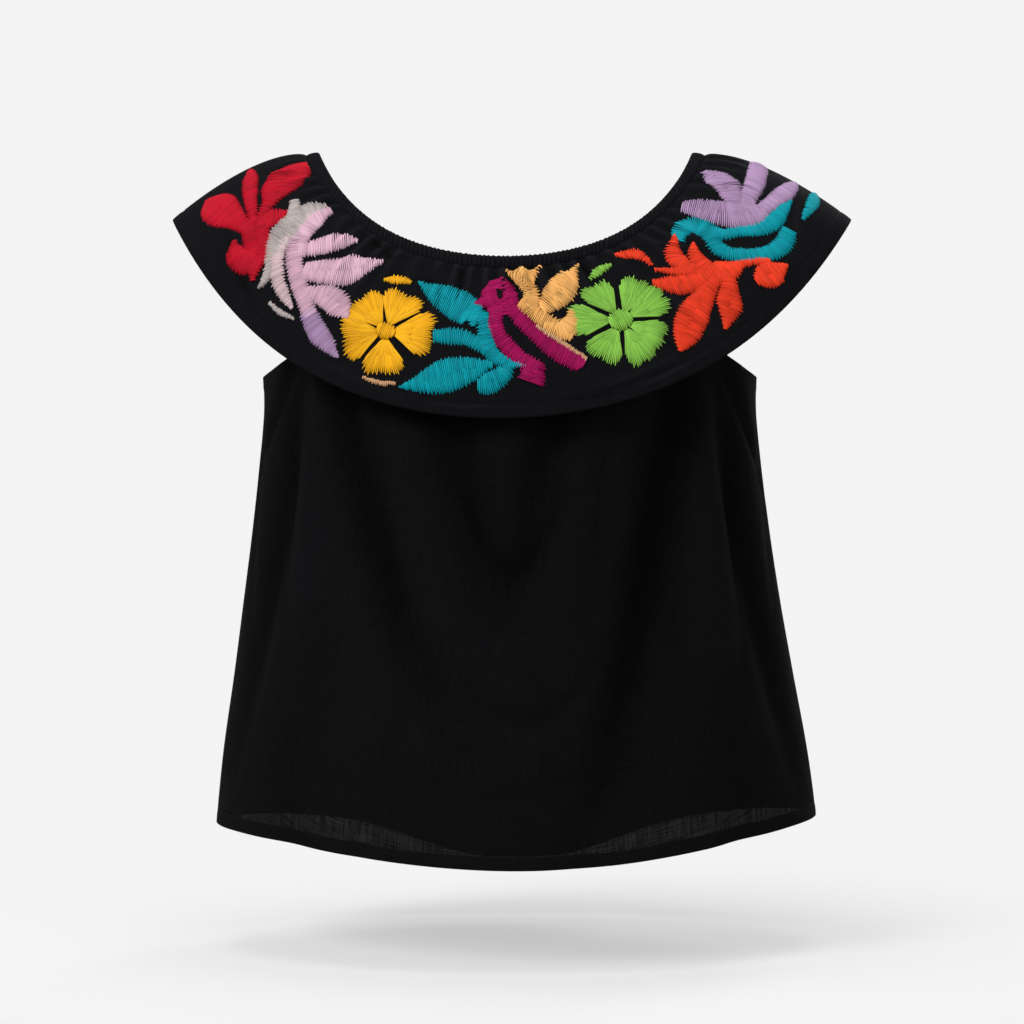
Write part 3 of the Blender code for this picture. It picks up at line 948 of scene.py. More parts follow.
# %% Ribs of the casing
CASING_RIBS = 132            # on each half
CASING_COLUMNS_PER_RIB = 6
CASING_AROUND = 14           # points round the tube
CASING_MIDDLE = 0.0001
CASING_HALF_DEPTH = 0.0017
CASING_CLOTH = 0.0004
CASING_EDGES, CASING_FACES = 0.8, 0.7    # below 1, the tube is squarer than an ellipse
CASING_FLAT = (0.52, 0.026)  # of a half's cloth when cut
RIB_HEIGHT = 0.0012
RIB_INSIDE = 0.2             # share of the height that the ribs have on the inner face
RIB_ROUNDING = 0.7
RIB_START = 0.008            # share of the half over which the ribs grow from each end
RIB_SEED = 5.0


def rib_tree(material):
    tree = Grower("casing_ribs", {"Ribs": CASING_RIBS, "Height": RIB_HEIGHT, "Unevenness": 0.7,
                                  "Seed": RIB_SEED, "Material": material})
    round_neck = tree.attribute("round")
    place = tree.wire("ShaderNodeCombineXYZ", {}, {"X": round_neck, "Y": tree.given("Seed")})
    drift, swell = (tree.noise(place, scale) - 0.5 for scale in (60.0, 95.0))
    turns = round_neck * tree.given("Ribs") + drift * 2.0 * tree.given("Unevenness")
    wave = (turns * (2 * math.pi)).math("COSINE") * -0.5 + 0.5
    height = wave * (swell * 2.0 * tree.given("Unevenness") + 1.0) * tree.given("Height")
    offset = tree.scaled(tree.attribute("facing", "FLOAT_VECTOR"), height * tree.attribute("ruche"))
    # fold: painted shade in the valleys between ribs and a painted highlight on their crowns
    shape = tree.store(tree.shape, "fold", 0.4 - wave * 1.1)
    raised = tree.wire("GeometryNodeSetPosition", {}, {"Geometry": shape, "Offset": offset})
    tree.end(raised)
    return tree


# %% Neck casing
def rounded(wave, power):
    """A wave that is squarer than a circle's, which flattens the tube."""
    return np.sign(wave) * np.abs(wave) ** power


def casing_half(side):
    columns = CASING_RIBS * CASING_COLUMNS_PER_RIB
    round_neck = np.linspace(0.0, 1.0, columns + 1)
    turn = centre_of(side) + QUARTER * (2 * round_neck - 1.0)
    edge, down, out = casing_frame(side, turn)
    angle = np.arange(CASING_AROUND) * 2 * math.pi / CASING_AROUND
    loop = np.stack((CASING_HEIGHT * (0.5 - 0.5 * rounded(np.cos(angle), CASING_EDGES)),
                     CASING_MIDDLE + CASING_HALF_DEPTH * rounded(np.sin(angle), CASING_FACES)),
                    axis=-1)
    tangent = np.roll(loop, -1, axis=0) - np.roll(loop, 1, axis=0)
    facing = unit(np.stack((-tangent[:, 1], tangent[:, 0]), axis=-1))

    def in_space(flat):
        return flat[:, 0, None] * down[:, None] + flat[:, 1, None] * out[:, None]

    away = in_space(facing)
    inner_loop = loop - facing * CASING_CLOTH
    tube = np.stack((edge[:, None] + in_space(loop), edge[:, None] + in_space(inner_loop)))
    tube[:, (0, -1), :, 1] = -SEAM_GAP / 2 if side == "front" else SEAM_GAP / 2

    index = np.arange(2 * (columns + 1) * CASING_AROUND).reshape(2, columns + 1, CASING_AROUND)
    after = np.roll(index, -1, axis=2)
    outside = np.stack((index[0, :-1], after[0, :-1], after[0, 1:], index[0, 1:]), axis=-1)
    inside = np.stack((index[1, :-1], index[1, 1:], after[1, 1:], after[1, :-1]), axis=-1)
    first_end = np.stack((index[0, 0], index[1, 0], after[1, 0], after[0, 0]), axis=-1)
    last_end = np.stack((index[0, -1], after[0, -1], after[1, -1], index[1, -1]), axis=-1)
    faces = np.concatenate([part.reshape(-1, 4) for part in (outside, inside, first_end, last_end)])

    mesh = new_mesh("neck_casing_" + side + "_half", tube, faces=faces)
    near_end = np.minimum(round_neck, 1.0 - round_neck)
    outer_share = RIB_INSIDE + (1.0 - RIB_INSIDE) * np.maximum(np.sin(angle), 0.0) ** RIB_ROUNDING
    ruche = np.minimum(near_end / RIB_START, 1.0)[:, None] * outer_share
    paint(mesh, "round", np.tile(np.repeat(round_neck, CASING_AROUND), 2))
    paint(mesh, "ruche", np.tile(ruche.ravel(), 2))
    paint(mesh, "facing", np.stack((away, away)).reshape(-1, 3))
    flat = np.stack(np.broadcast_arrays(round_neck[:, None] * CASING_FLAT[0],
                                        angle / (2 * math.pi) * CASING_FLAT[1]), axis=-1)
    lay_flat(mesh, np.stack((flat, flat)).reshape(-1, 2))
    mesh.update()
    return counted(rib_tree(casing_cotton).run(add_object(mesh.name, mesh)))


casings = {side: casing_half(side) for side in SIDES}

# %% [markdown]
# ## Embroidery: where a motif lies on the flounce
# The motifs are traditional flowers, leaves and birds, worked by hand in thick thread. Each
# is drawn here on the flat cloth, in millimetres from its own centre: x runs round the
# flounce towards the wearer's left, and y runs down it. A motif's centre is given by its
# turn and by how far below the casing it lies, and this cell lays flat places on the cloth.

# %% From flat places to the flounce
MM = 0.001
EMBROIDERY_SEED = 11


def either_half(surface, turn, share):
    """A surface's values at turns of both halves."""
    front = surface("front", turn, share)
    back = surface("back", turn, share)
    return np.where((np.cos(turn) >= 0)[..., None], front, back)


def flounce_spots(motif_turn, motif_down, flat):
    """Turns and shares of flat places round a motif's centre."""
    small = 0.01
    centre = np.full(flat.shape[:-1], motif_turn)

    def place(turn, share):
        return either_half(lambda *at: flounce_form(*at)[0], turn, share)

    length = np.linalg.norm(place(centre, centre * 0 + 1) - place(centre, centre * 0), axis=-1)
    share = np.clip((motif_down + flat[..., 1]) / length, 0.02, 0.985)
    girth = np.linalg.norm(place(centre + small, share) - place(centre - small, share), axis=-1)
    return motif_turn + flat[..., 0] / (girth / (2 * small)), share


def on_flounce(turn, share, lift):
    """Places on the flounce's outer face, lifted off it."""
    surface = either_half(flounce_surface, turn, share)
    outward = either_half(lambda side, *at: normals(flounce_surface, side, *at), turn, share)
    return surface + outward * (CLOTH_SOLID / 2 + lift)[..., None]


# %% [markdown]
# ## Embroidery: filling a shape with stitches
# A leaf, a stem or a bird's wing is a blade: a curved spine with a width at each of its
# few knots. Satin stitches lie side by side across it, a thread's width apart. Where the
# blade is wider than one stitch can span, two ranks of stitches meet unevenly near its
# spine, as they do in hand work. A petal is a fan, whose stitches point at the flower's
# centre in an outer and an inner rank. Stitches of a leaning blade lean towards the
# flounce's own up and down, as rows of hand work keep to the weave.

# %% Blades and fans
THREAD_STEP = 1.42 * MM
LONGEST_STITCH = 19.0 * MM
RAGGED = 0.36 * MM
COMB = 0.95 * MM             # every other stitch stops this much short, on each edge in turn
PETAL_GAP = 5.2 * MM
PETAL_GAP_CLOSES = ((0.35, 0.80), (1.0, 0.25))    # shares of the reach, and of the gap there
FULLNESS = 1.18              # thick thread pushes a shape's edges out
STITCH_LEAN = 1.45           # how far stitches turn towards up and down
FANNING = 0.84               # below 1, neighbours' outer ends may stand further apart
NARROWEST = 0.5 * MM
COMB_FADE = 5 * MM           # narrower blades are combed less
PAST_SPINE = (0.05, 0.5)     # how far the ranks of a broad blade reach past its spine
PETAL_CORNERS = (0.32, 3.4)  # how much lower a petal is at its corners, and how squarely
NOTCH_HALF_WIDTH = 0.16
PETAL_MEETING = (0.42, 0.56)
PETAL_INNER_TOP = (0.60, 0.74)
rng = np.random.default_rng(EMBROIDERY_SEED)


def smooth_through(knots, per_stretch=24):
    """A smooth curve through knots, for every column of them."""
    knots = np.array(knots, dtype=float)
    before = np.vstack((2 * knots[0] - knots[1], knots[:-1]))
    after = np.vstack((knots[1:], 2 * knots[-1] - knots[-2]))
    slope = (after - before) / 2
    run = np.linspace(0.0, 1.0, per_stretch, endpoint=False)[:, None]
    parts = [hermite(run, knots[i], knots[i + 1], slope[i], slope[i + 1])
             for i in range(len(knots) - 1)]
    return np.vstack((*parts, knots[-1:]))


def blade(knots, lean=STITCH_LEAN):
    """Stitches across a blade, as pairs of flat ends. Knots are x, y and width, in mm."""
    curve = smooth_through(knots) * MM
    middle = curve[:, :2]
    along = unit(np.gradient(middle, axis=0))
    square_on = np.stack((-along[:, 1], along[:, 0]), axis=-1)
    across = unit(square_on * (1.0, lean))
    half = np.maximum(curve[:, 2] * FULLNESS / 2, NARROWEST) / np.sum(across * square_on, axis=-1)
    ends = np.stack((middle + across * half[:, None], middle - across * half[:, None]), axis=1)
    between_ends = np.linalg.norm(np.diff(ends, axis=0), axis=-1).max(axis=-1) * FANNING
    between_middles = np.linalg.norm(np.diff(middle, axis=0), axis=-1)
    travel = np.concatenate(((0.0,), np.cumsum(np.maximum(between_ends, between_middles))))
    at = np.arange(THREAD_STEP * 0.3, travel[-1], THREAD_STEP)

    def sampled(values):
        return np.stack([np.interp(at, travel, column) for column in values.T], axis=-1)

    middle, across = sampled(middle), unit(sampled(across))
    half = np.interp(at, travel, half)

    def reach(combed):
        short_by = COMB * np.minimum(half / COMB_FADE, 1.0) * ((np.arange(len(half)) + combed) % 2)
        return (half - short_by + rng.normal(0.0, RAGGED, len(half)))[:, None]

    def past_spine():
        return (half * rng.uniform(*PAST_SPINE, len(half)))[:, None]

    left, right = middle + across * reach(0), middle - across * reach(1)
    short = half * 2 < LONGEST_STITCH
    left_rank = np.stack((left, middle - across * past_spine()), axis=1)[~short]
    right_rank = np.stack((middle + across * past_spine(), right), axis=1)[~short]
    return np.concatenate((np.stack((left, right), axis=1)[short], left_rank, right_rank))


def fan(angle, spread, reach, hollow, notch):
    """Stitches of one petal. Angles are in degrees, and reach and hollow in mm."""
    slope = math.tan(math.radians(spread))
    reach, hollow = reach * MM, hollow * MM
    count = int(2 * reach * slope * 0.84 / THREAD_STEP)
    side = np.linspace(-1.0, 1.0, count)
    lower, squarely = PETAL_CORNERS
    outline = 1.0 - lower * np.abs(side) ** squarely
    outline = outline * (1.0 - notch * np.exp(-(side / NOTCH_HALF_WIDTH) ** 2))
    outer = outline * reach + rng.normal(0.0, RAGGED * 1.5, count)
    outer = outer - 1.4 * COMB * (np.arange(count) % 2)
    meeting = outer * rng.uniform(*PETAL_MEETING, count)
    heading = math.radians(angle)
    ahead = np.array((math.cos(heading), math.sin(heading)))
    aside = np.array((-ahead[1], ahead[0]))

    def at(distance, sides):
        gap = PETAL_GAP * np.interp(distance / reach, *PETAL_GAP_CLOSES)
        beside = sides * np.maximum(distance * slope - gap / 2, 0.4 * MM)
        return distance[:, None] * ahead + beside[:, None] * aside

    outer_rank = np.stack((at(outer, side), at(meeting, side)), axis=1)
    fewer = int(count * 0.7)
    inner_side = np.linspace(-1.0, 1.0, fewer)
    inner_top = np.interp(inner_side, side, outline) * reach * rng.uniform(*PETAL_INNER_TOP, fewer)
    inner_rank = np.stack((at(inner_top, inner_side), at(np.full(fewer, hollow), inner_side)), axis=1)
    return np.concatenate((outer_rank, inner_rank))


# %% Flowers
def flower(petals, spread, reach, hollow, notch):
    """A flower of petals at the given angles, each with its share of the full reach."""
    return np.concatenate([fan(angle, spread * width, reach * size, hollow, notch)
                           for angle, width, size in petals])


def flower_heart(reach):
    """The round middle of a flower: stitches across it, over the petals' ends."""
    knots = [(-reach, 0, reach * 0.7), (-reach * 0.5, 0, reach * 1.7), (reach * 0.5, 0, reach * 1.7),
             (reach, 0, reach * 0.7)]
    return blade(knots, lean=1.0)


# %% [markdown]
# ## The motifs
# Every motif is a short list of blades or petals in a maker's own sizes. A blade has three
# to six knots. The colours are those of the threads, and a second, raised layer is worked
# over the first where a stem or a wing lies on top.

# %% Thread colours
def linear(red, green, blue):
    """A colour of the screen, from 0 to 255, as light."""
    parts = np.array((red, green, blue)) / 255
    return tuple(np.where(parts <= 0.04045, parts / 12.92, ((parts + 0.055) / 1.055) ** 2.4)) + (1.0,)


THREADS = {
    "red": (190, 14, 40), "silver": (188, 178, 174), "pink": (218, 178, 196),
    "blush": (222, 196, 200), "lilac": (180, 148, 186), "yellow": (250, 178, 26),
    "teal": (0, 154, 168), "magenta": (168, 12, 90), "peach": (242, 180, 104),
    "tan": (204, 160, 120), "green": (136, 194, 78), "orange": (242, 66, 36),
    "black": (12, 12, 14),
}

# %% Plants
MOTIFS = {
    # knots of each blade: x, y, width, in mm
    "spreading plant": (
        ((-2, 4, 10), (-20, 9, 16), (-42, 15, 27), (-62, 19, 21), (-75, 22, 3)),
        ((-8, -2, 7), (-30, -9, 11), (-56, -16, 13), (-80, -20, 3)),
        ((-8, -9, 7), (-16, -21, 13), (-28, -36, 29), (-41, -52, 24), (-49, -66, 2)),
        ((-4, -4, 14), (0, -16, 16), (4, -28, 5)),
        ((-9, -3, 22), (8, 4, 21), (22, 11, 17), (37, 28, 3)),
        ((30, 15, 14), (18, 23, 18), (6, 25, 15), (-4, 20, 5)),
    ),
    "curving branch": (
        ((-37, -43, 8), (-31, -17, 16), (-21, -1, 14), (1, 13, 13), (22, 25, 11)),
        ((-31, -20, 12), (-34, -36, 15), (-31, -52, 4)),
        ((-23, -8, 9), (-12, -24, 14), (-3, -37, 14), (6, -48, 3)),
        ((-8, 0, 14), (9, -12, 20), (24, -25, 23), (37, -43, 3)),
        ((6, 12, 10), (24, 5, 18), (38, 7, 17), (49, 12, 3)),
    ),
    "branch tip": (((18, 24, 12), (34, 32, 15), (48, 37, 12), (64, 43, 1)),),
    "branch side": (((-39, -12, 5), (-36, 5, 11), (-23, 18, 12), (-7, 25, 9), (6, 29, 3)),),
    "leaf spray": (
        ((4, -13, 3), (3, -23, 18), (-9, -30, 25), (-26, -36, 18), (-43, -43, 1)),
        ((16, 7, 7), (2, -2, 11), (-12, -3, 13), (-25, 0, 9)),
        ((22, 18, 5), (7, 23, 18), (-12, 30, 24), (-30, 39, 14), (-47, 46, 1)),
        ((11, -25, 8), (14, -9, 11), (17, 4, 12), (25, 13, 10), (35, 17, 8), (48, 20, 1)),
        ((37, 18, 5), (31, 27, 14), (20, 34, 16), (12, 36, 9)),
    ),
    "palm": (
        ((2, -3, 14), (8, 3, 18), (16, 7, 15), (23, 9, 9)),
        ((-6, -12, 8), (-10, -26, 14), (-5, -36, 11), (8, -46, 1)),
        ((2, -2, 14), (1, -13, 14), (5, -23, 10), (12, -30, 2)),
        ((-3, -7, 8), (-15, -17, 9), (-30, -31, 3)),
        ((0, -1, 10), (-15, -4, 15), (-30, -12, 16), (-41, -22, 7)),
        ((2, 4, 9), (-16, 9, 14), (-36, 17, 21), (-54, 28, 17), (-67, 37, 2)),
        ((11, 9, 9), (1, 19, 15), (-9, 28, 18), (-25, 40, 2)),
        ((14, 6, 10), (27, 9, 7), (39, 16, 7), (47, 25, 5)),
        ((24, 27, 6), (31, 29, 17), (42, 32, 19), (57, 36, 2)),
    ),
    "plume": (
        ((-6, -6, 10), (3, 2, 14), (8, 8, 12)),
        ((-24, -38, 13), (-21, -26, 20), (-18, -12, 23), (-12, 2, 25), (-4, 12, 20), (6, 18, 9)),
        ((-8, 0, 12), (6, -12, 17), (19, -26, 20), (24, -42, 8)),
        ((-5, 2, 12), (20, 0, 14), (50, -3, 15), (78, -5, 12), (94, -6, 4)),
        ((-4, 13, 12), (18, 19, 12), (45, 24, 13), (76, 27, 4)),
    ),
    "small plume": (
        ((-25, -35, 4), (-18, -31, 11), (-12, -28, 18), (-5, -31, 11), (2, -35, 4)),
        ((-12, -24, 12), (-10, -15, 12), (-9, -7, 12), (-14, 2, 12)),
        ((-4, 4, 9), (8, -6, 20), (19, -16, 20), (31, -30, 1)),
        ((-18, -5, 11), (-11, 6, 13), (0, 16, 12), (14, 32, 6)),
        ((-5, 17, 9), (7, 25, 14), (15, 20, 14), (18, 8, 3)),
    ),
    "sprig": (((-20, 2, 3), (0, 2, 9), (20, 1, 8), (34, 0, 2)),),
    "crescent": (((-12, -10, 3), (-4, -8, 8), (4, -2, 8), (6, 13, 2)),),
    "dash": (((-10, 4, 2), (-3, 0, 7), (5, -2, 6), (11, -2, 2)),),
    "long line": (((-17, -16, 3), (-2, -1, 4), (15, 18, 3)),),
    "thin line": (((-13, 1, 2), (0, 1, 4), (13, -2, 2)),),
}

# %% Birds
MOTIFS |= {
    "perched bird": (
        ((-13, -41, 9), (-11, -34, 21), (-10, -25, 25), (-8, -16, 22), (-7, -9, 14)),
        ((-15, -24, 12), (-23, -20, 9), (-30, -18, 2)),
        ((-14, -12, 10), (-15, 1, 11), (-9, 15, 12), (2, 28, 12), (15, 37, 11)),
        ((-4, -22, 14), (2, -9, 11), (13, 6, 11), (24, 19, 12), (35, 28, 14), (46, 36, 13),
         (50, 40, 6)),
        ((14, 31, 12), (12, 39, 16), (9, 48, 18)),
    ),
    "flying bird": (
        ((-30, -31, 3), (-23, -38, 12), (-13, -38, 15), (-8, -29, 16), (-9, -18, 16)),
        ((-8, -21, 12), (-3, -11, 10), (7, -4, 9), (19, 7, 11), (36, 13, 13), (54, 14, 10),
         (74, 16, 1)),
        ((-12, -18, 12), (-18, -4, 12), (-11, 10, 12), (4, 24, 12), (21, 30, 14), (39, 27, 12)),
    ),
    "small bird": (
        ((-7, -39, 8), (-9, -22, 17), (-6, 0, 21), (0, 18, 15), (9, 29, 3)),
        ((-27, -21, 7), (-15, -14, 12), (-6, -8, 12)),
        ((9, 28, 6), (16, 36, 7), (18, 46, 2)),
    ),
    "bird eye": (((-11, -32, 3), (-10, -28, 5), (-10, -23, 3)),),
}

# %% Flowers of five and seven petals
PETALS = {
    # angle in degrees, share of the spread, share of the reach
    "five": ((-149, 1.0, 0.96), (-84, 1.0, 1.0), (-12, 1.08, 1.02), (74, 1.0, 0.98),
             (148, 1.08, 1.0)),
    "seven": ((-43, 1.0, 1.02), (-5, 1.0, 1.08), (47, 1.0, 0.98), (85, 0.95, 1.02),
              (138, 1.1, 1.0), (198, 1.12, 1.0), (258, 1.1, 0.96)),
}


def drawn(name):
    """The flat stitches of a motif, in layers: a list of pairs of ends and a raise."""
    if name == "five petals":
        layers = [(flower(PETALS["five"], 34, 37, 7, notch=0.05), 0.0), (flower_heart(7), 0.5 * MM)]
    elif name == "seven petals":
        layers = [(flower(PETALS["seven"], 25, 40, 9, notch=0.06), 0.0),
                  (flower_heart(9), 0.4 * MM)]
    else:
        raised = 0.7 * MM if name == "bird eye" else 0.0
        layers = [(blade(knots), raised + 0.15 * MM * (place % 3))
                  for place, knots in enumerate(MOTIFS[name])]
    return layers


# %% Where the motifs are worked
FRONT_WORK = (
    # motif, turn in degrees, mm below the casing, thread
    ("spreading plant", -61.5, 65, "red"),
    ("small bird", -55.0, 48, "silver"),
    ("thin line", -44.5, 97, "silver"),
    ("curving branch", -44.5, 60.6, "pink"),
    ("branch side", -44.5, 60.6, "blush"),
    ("branch tip", -44.5, 60.6, "lilac"),
    ("five petals", -24.5, 72.7, "yellow"),
    ("dash", -27.0, 29, "yellow"),
    ("thin line", -22.5, 113, "tan"),
    ("leaf spray", -8.5, 68, "teal"),
    ("small plume", 9.0, 37.3, "peach"),
    ("perched bird", 1.5, 53.6, "magenta"),
    ("bird eye", 1.5, 53.6, "black"),
    ("long line", 10.5, 71, "tan"),
    ("seven petals", 23.0, 64.2, "green"),
    ("dash", 24.6, 18, "green"),
    ("crescent", 34.5, 19.6, "orange"),
    ("palm", 44.5, 67.5, "orange"),
    ("flying bird", 55.0, 61.2, "teal"),
    ("plume", 64.0, 46.4, "lilac"),
    ("sprig", 75.2, 92, "teal"),
)
BACK_WORK = (
    ("spreading plant", 118.5, 63, "magenta"),
    ("small bird", 125.0, 47, "silver"),
    ("dash", 129.5, 90, "peach"),
    ("curving branch", 135.5, 58, "yellow"),
    ("branch side", 135.5, 58, "peach"),
    ("branch tip", 135.5, 58, "orange"),
    ("five petals", 155.5, 69, "orange"),
    ("dash", 153.0, 26, "orange"),
    ("leaf spray", 171.5, 65, "green"),
    ("perched bird", 181.5, 51, "teal"),
    ("bird eye", 181.5, 51, "black"),
    ("small plume", 189.0, 36, "pink"),
    ("seven petals", 203.0, 62, "red"),
    ("dash", 204.6, 17, "red"),
    ("crescent", 213.5, 19, "lilac"),
    ("palm", 223.5, 65, "lilac"),
    ("flying bird", 232.5, 61, "magenta"),
    ("plume", 239.5, 45, "yellow"),
    ("sprig", 253.0, 88, "green"),
)

# %% [markdown]
# ## Embroidery: thread by Geometry Nodes
# Each stitch is a short line of six points that dives into the cloth at both ends and
# swells between them. Geometry Nodes sweep a five-sided thread along every line. A stitch
# carries its own tone, so neighbours differ a little, as floss does, and a place round the
# thread, from which the material draws the fine strands.

# %% Lay the stitches
THREAD_HALF_WIDTH = 0.74 * MM
STITCH_LIFT = 0.85 * MM
LIFT_SPREAD = (0.8, 1.15)
WIDTH_SPREAD = (0.85, 1.1)
ALONG_STITCH = np.array((0.0, 0.08, 0.34, 0.66, 0.92, 1.0))
STITCH_RISE = np.array((-0.3, 0.62, 1.0, 1.0, 0.62, -0.3))
STITCH_TAPER = np.array((0.4, 0.78, 1.0, 1.0, 0.78, 0.4))


def laid(name, turn, down):
    """Points, half widths and tones of a motif's stitches on the flounce."""
    places, widths, tones = [], [], []
    for ends, raised in drawn(name):
        each = (len(ends), 1)
        flat = ends[:, :1] + (ends[:, 1:] - ends[:, :1]) * ALONG_STITCH[None, :, None]
        turns, shares = flounce_spots(math.radians(turn), down * MM, flat)
        lift = STITCH_LIFT * STITCH_RISE[None, :] * rng.uniform(*LIFT_SPREAD, each) + raised
        places.append(on_flounce(turns, shares, lift))
        widths.append(THREAD_HALF_WIDTH * STITCH_TAPER[None, :] * rng.uniform(*WIDTH_SPREAD, each))
        tones.append(np.repeat(rng.uniform(0.0, 1.0, each), len(ALONG_STITCH), axis=1))
    return np.concatenate(places), np.concatenate(widths), np.concatenate(tones)


def stitch_lines(name, work):
    """One object of loose lines, a line for each stitch of the works given."""
    parts = [laid(motif, turn, down) for motif, turn, down in work]
    place, width, tone = (np.concatenate(column) for column in zip(*parts))
    stitches, dots = place.shape[:2]
    index = np.arange(stitches * dots).reshape(stitches, dots)
    edges = np.stack((index[:, :-1], index[:, 1:]), axis=-1).reshape(-1, 2)
    mesh = new_mesh(name, place, edges)
    paint(mesh, "half_width", width.ravel())
    paint(mesh, "tone", tone.ravel())
    return add_object(name, mesh), stitches


def thread_tree(material):
    tree = Grower("embroidery_thread", {"Sides": 5, "Material": material})
    curve = tree.wire("GeometryNodeMeshToCurve", {}, {"Mesh": tree.shape})
    circle = tree.wire("GeometryNodeCurvePrimitiveCircle", {},
                       {"Resolution": tree.given("Sides"), "Radius": 1.0})
    index = tree.wire("GeometryNodeInputIndex")
    circle = tree.store(circle, "around", index / tree.given("Sides"))
    along = tree.wire("GeometryNodeSplineParameter", {}, {}, output="Length")
    curve = tree.store(curve, "along", along)
    sweep = tree.wire("GeometryNodeCurveToMesh", {}, {
        "Curve": curve, "Profile Curve": circle, "Scale": tree.attribute("half_width")})
    tree.end(sweep)
    return tree


# %% Thread finish
STRAND_TURNS = 18.85         # three strands round the thread, in radians
STRAND_TWIST = 3500.0        # radians in each metre along it
STRAND_STRENGTH = 0.5
STRAND_RELIEF = 0.0002
DYE_PATCHES = 45.0


def thread_finish(name, colour):
    """Mercerised cotton floss: satin gloss, fine twisted strands, a tone for each stitch."""
    material, tree = new_material("thread_" + name)
    tone, around, along = (tree.painted(label) for label in ("tone", "around", "along"))
    strands = (around * STRAND_TURNS + along * STRAND_TWIST).math("SINE")
    place = tree.wire("ShaderNodeTexCoord", {}, {}, output="Object")
    dye = tree.noise(place, DYE_PATCHES)
    base = linear(*colour)
    dark, light = scaled(base, 0.66), scaled(base, 1.18)
    shade = tree.between(tone * 0.55 + dye * 0.5 + strands * 0.12, 0.0, 1.0)
    shader = tree.node("ShaderNodeBsdfPrincipled", {}, {
        "Base Color": tree.mix(dark, light, shade),
        "Roughness": tree.between(tone, 0.0, 1.0, 0.42, 0.6),
        "Specular IOR Level": 0.10,
        "Normal": tree.relief(strands, STRAND_STRENGTH, STRAND_RELIEF),
    })
    finish_with(tree, shader)
    return material


# %% Work the embroidery
embroidery = {}
total_stitches = 0
for thread, colour in THREADS.items():
    work = [(motif, turn, down) for motif, turn, down, used in FRONT_WORK + BACK_WORK
            if used == thread]
    finish = thread_finish(thread, colour)
    lines, stitches = stitch_lines("embroidery_" + thread, work)
    embroidery[thread] = thread_tree(finish).run(lines)
    total_stitches += stitches
    print(lines.name, "stitches", stitches, "faces", len(lines.data.polygons))
print("stitches in all:", total_stitches)


# %% [markdown]
# ## Topstitching
# The hems of the flounce and of the body are held by a row of small machine stitches in
# black thread. Geometry Nodes set them along each hem line at an even pitch: every stitch
# is a short bead of thread, aimed along the line and sunk halfway into the cloth.

# %% Topstitching
STITCH_PITCH = 0.0029
STITCH_LENGTH = 0.0022
STITCH_WIDTH = 0.0006
SEWN_LIFT = -0.0002
SEWN_POINTS = 398            # of the line that the stitches follow, on each half


def topstitch_tree(material):
    tree = Grower("topstitching", {"Pitch": STITCH_PITCH, "Length": STITCH_LENGTH,
                                   "Width": STITCH_WIDTH, "Material": material})
    curve = tree.wire("GeometryNodeMeshToCurve", {}, {"Mesh": tree.shape})
    spots = tree.node("GeometryNodeCurveToPoints", {"mode": "LENGTH"},
                      {"Curve": curve, "Length": tree.given("Pitch")})
    bead = tree.wire("GeometryNodeMeshUVSphere", {}, {"Segments": 6, "Rings": 4, "Radius": 0.5})
    aimed = tree.wire("FunctionNodeAlignRotationToVector", {"axis": "Z"},
                      {"Vector": Wire(tree, spots.outputs["Tangent"])})
    size = tree.wire("ShaderNodeCombineXYZ", {}, {
        "X": tree.given("Width"), "Y": tree.given("Width"), "Z": tree.given("Length")})
    beads = tree.wire("GeometryNodeInstanceOnPoints", {}, {
        "Points": Wire(tree, spots.outputs["Points"]), "Instance": bead,
        "Rotation": aimed, "Scale": size})
    tree.end(beads)
    return tree


def sewn_hem(name, surface, hem_share):
    """Topstitching along the hem of both halves, as one piece."""
    turn = np.linspace(-QUARTER, QUARTER, SEWN_POINTS + 2)[1:-1]
    lines = []
    for side in SIDES:
        here = centre_of(side) + turn
        share = hem_share(side, here)
        outward = normals(surface, side, here, share)
        lines.append(surface(side, here, share) + outward * (CLOTH_SOLID / 2 + SEWN_LIFT))
    edges = [(first + i, first + i + 1) for first in (0, SEWN_POINTS) for i in range(SEWN_POINTS - 1)]
    mesh = new_mesh(name, np.concatenate(lines), edges)
    return counted(topstitch_tree(sewing_thread).run(add_object(name, mesh)))


def flounce_hem_share(side, turn):
    length = np.linalg.norm(flounce_form(side, turn, turn * 0 + 1)[0]
                            - flounce_form(side, turn, turn * 0)[0], axis=-1)
    return 1.0 - FLOUNCE_HEM / length


def body_hem_share(side, turn):
    return 1.0 - HEM_BAND / (BUST - hem_height(side, turn))


sewing_thread = thread_finish("sewing_black", (17, 17, 20))
topstitching = {
    "flounce_cotton": sewn_hem("topstitching_flounce", flounce_surface, flounce_hem_share),
    "body_cotton": sewn_hem("topstitching_hem", lower_body, body_hem_share),
}

# %% [markdown]
# ## The floor and the light
# The blouse stands over a pale floor that melts into an even pale backdrop, so the floor
# shows only a soft shadow. One large light hangs above, a broad key light stands in front on
# the left, a weak one fills from the right, and one lights the back. All are discs, because
# a broad light softens the shadow's edge.

# %% Floor
FLOOR_HEIGHT = -0.640
FLOOR_RADIUS = 3.0
FLOOR_CLEAR = 0.48           # how much of the backdrop the floor lets through under the blouse
FADE_START, FADE_END = 0.22, 0.55    # distances over which the floor melts away
FLOOR_SIDES = 96
FLOOR_GREY = (0.86, 0.86, 0.86, 1.0)


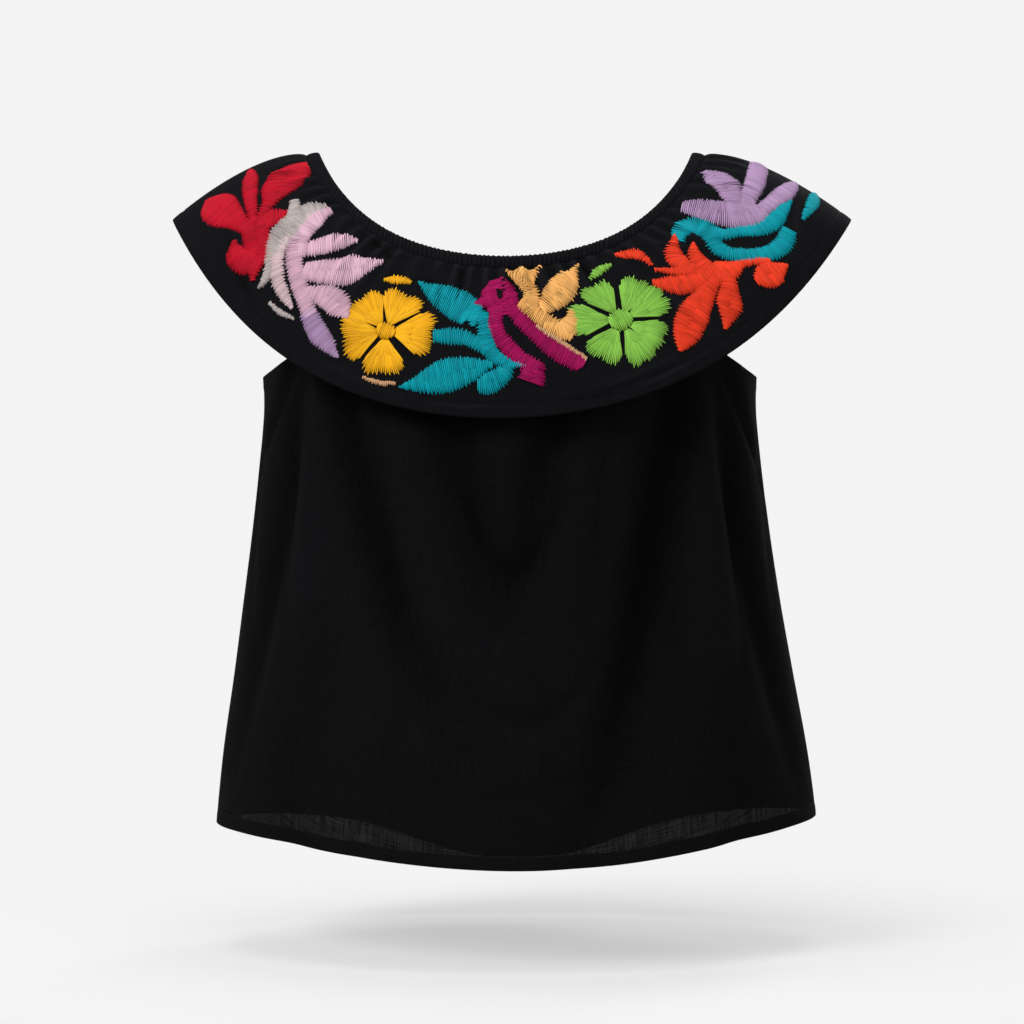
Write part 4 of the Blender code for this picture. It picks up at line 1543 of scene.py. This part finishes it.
def pale_floor():
    material, tree = new_material("pale_floor")
    place = tree.wire("ShaderNodeTexCoord", {}, {}, output="Object")
    distance = tree.wire("ShaderNodeVectorMath", {"operation": "LENGTH"}, {0: place}, output=1)
    shade = tree.node("ShaderNodeBsdfDiffuse", {}, {"Color": FLOOR_GREY})
    clear = tree.node("ShaderNodeBsdfTransparent")
    fade = tree.between(distance, FADE_START, FADE_END, FLOOR_CLEAR, 1.0)
    mixed = tree.node("ShaderNodeMixShader", {}, {
        0: fade, 1: Wire(tree, shade.outputs[0]), 2: Wire(tree, clear.outputs[0])})
    finish_with(tree, mixed)
    return material


def floor_disc():
    angle = np.arange(FLOOR_SIDES) * 2 * math.pi / FLOOR_SIDES
    rim = points(FLOOR_RADIUS * np.cos(angle), FLOOR_RADIUS * np.sin(angle), 0.0)
    mesh = new_mesh("floor", rim, faces=[range(FLOOR_SIDES)])
    mesh.materials.append(pale_floor())
    floor = add_object("floor", mesh)
    floor.location = (0.0, 0.0, FLOOR_HEIGHT)
    return floor


floor = floor_disc()

# %% Light
BACKDROP = (0.90, 0.90, 0.90, 1.0)
AMBIENT = 0.45               # how much of the backdrop's brightness lights the blouse
AIM = np.array((0.0, 0.0, -0.3))
LIGHTS = {
    # place, size across and power
    "top_light": ((-0.1, -0.2, 1.7), 1.4, 17.0),
    "key_light": ((-1.7, -1.7, 1.1), 1.2, 46.0),
    "fill_light": ((1.3, -2.0, 0.2), 1.0, 9.0),
    "back_light": ((1.3, 2.1, 1.3), 1.2, 22.0),
}


def soft_light(name, place, size, power):
    data = bpy.data.lights.new(name, "AREA")
    data.shape = "DISK"
    data.size = size
    data.energy = power
    light = bpy.data.objects.new(name, data)
    bpy.context.collection.objects.link(light)
    direction = AIM - np.array(place)
    pitch = math.atan2(math.hypot(direction[0], direction[1]), -direction[2])
    heading = math.atan2(direction[1], direction[0]) - QUARTER
    light.location = place
    light.rotation_euler = (pitch, 0.0, heading)


def backdrop():
    """An even pale backdrop. It is a little brighter to look at than as a light."""
    world = bpy.data.worlds.new("backdrop")
    world.use_nodes = True
    tree = Tree(world.node_tree)
    looked_at = tree.wire("ShaderNodeLightPath", {}, {}, output="Is Camera Ray")
    strength = looked_at * (1.0 - AMBIENT) + AMBIENT
    glow = tree.wire("ShaderNodeBackground", {}, {"Color": BACKDROP, "Strength": strength})
    tree.node("ShaderNodeOutputWorld", {}, {"Surface": glow})
    bpy.context.scene.world = world


backdrop()
bpy.context.scene.view_settings.view_transform = "Standard"
for name, (place, size, power) in LIGHTS.items():
    soft_light(name, place, size, power)

# %% [markdown]
# ## The pieces in the frame
# Nothing on a blouse turns or slides, so every piece rides on the one body. Each sheet
# replaces its imported solid, which is hidden, and its UV map says how large its cloth was cut.
# Thread and topstitching are sewn on and replace nothing.

# %% Put the pieces in the frame
for side in SIDES:
    for piece, node, cotton in (
            (body_panels[side], "body_" + side, "body_cotton"),
            (flounces[side], "flounce_" + side, "flounce_cotton"),
            (casings[side], "neck_casing_" + side, "casing_cotton")):
        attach(piece, "root")
        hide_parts(node)
for piece in embroidery.values():
    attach(piece, "root")
for cotton, piece in topstitching.items():
    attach(piece, "root")
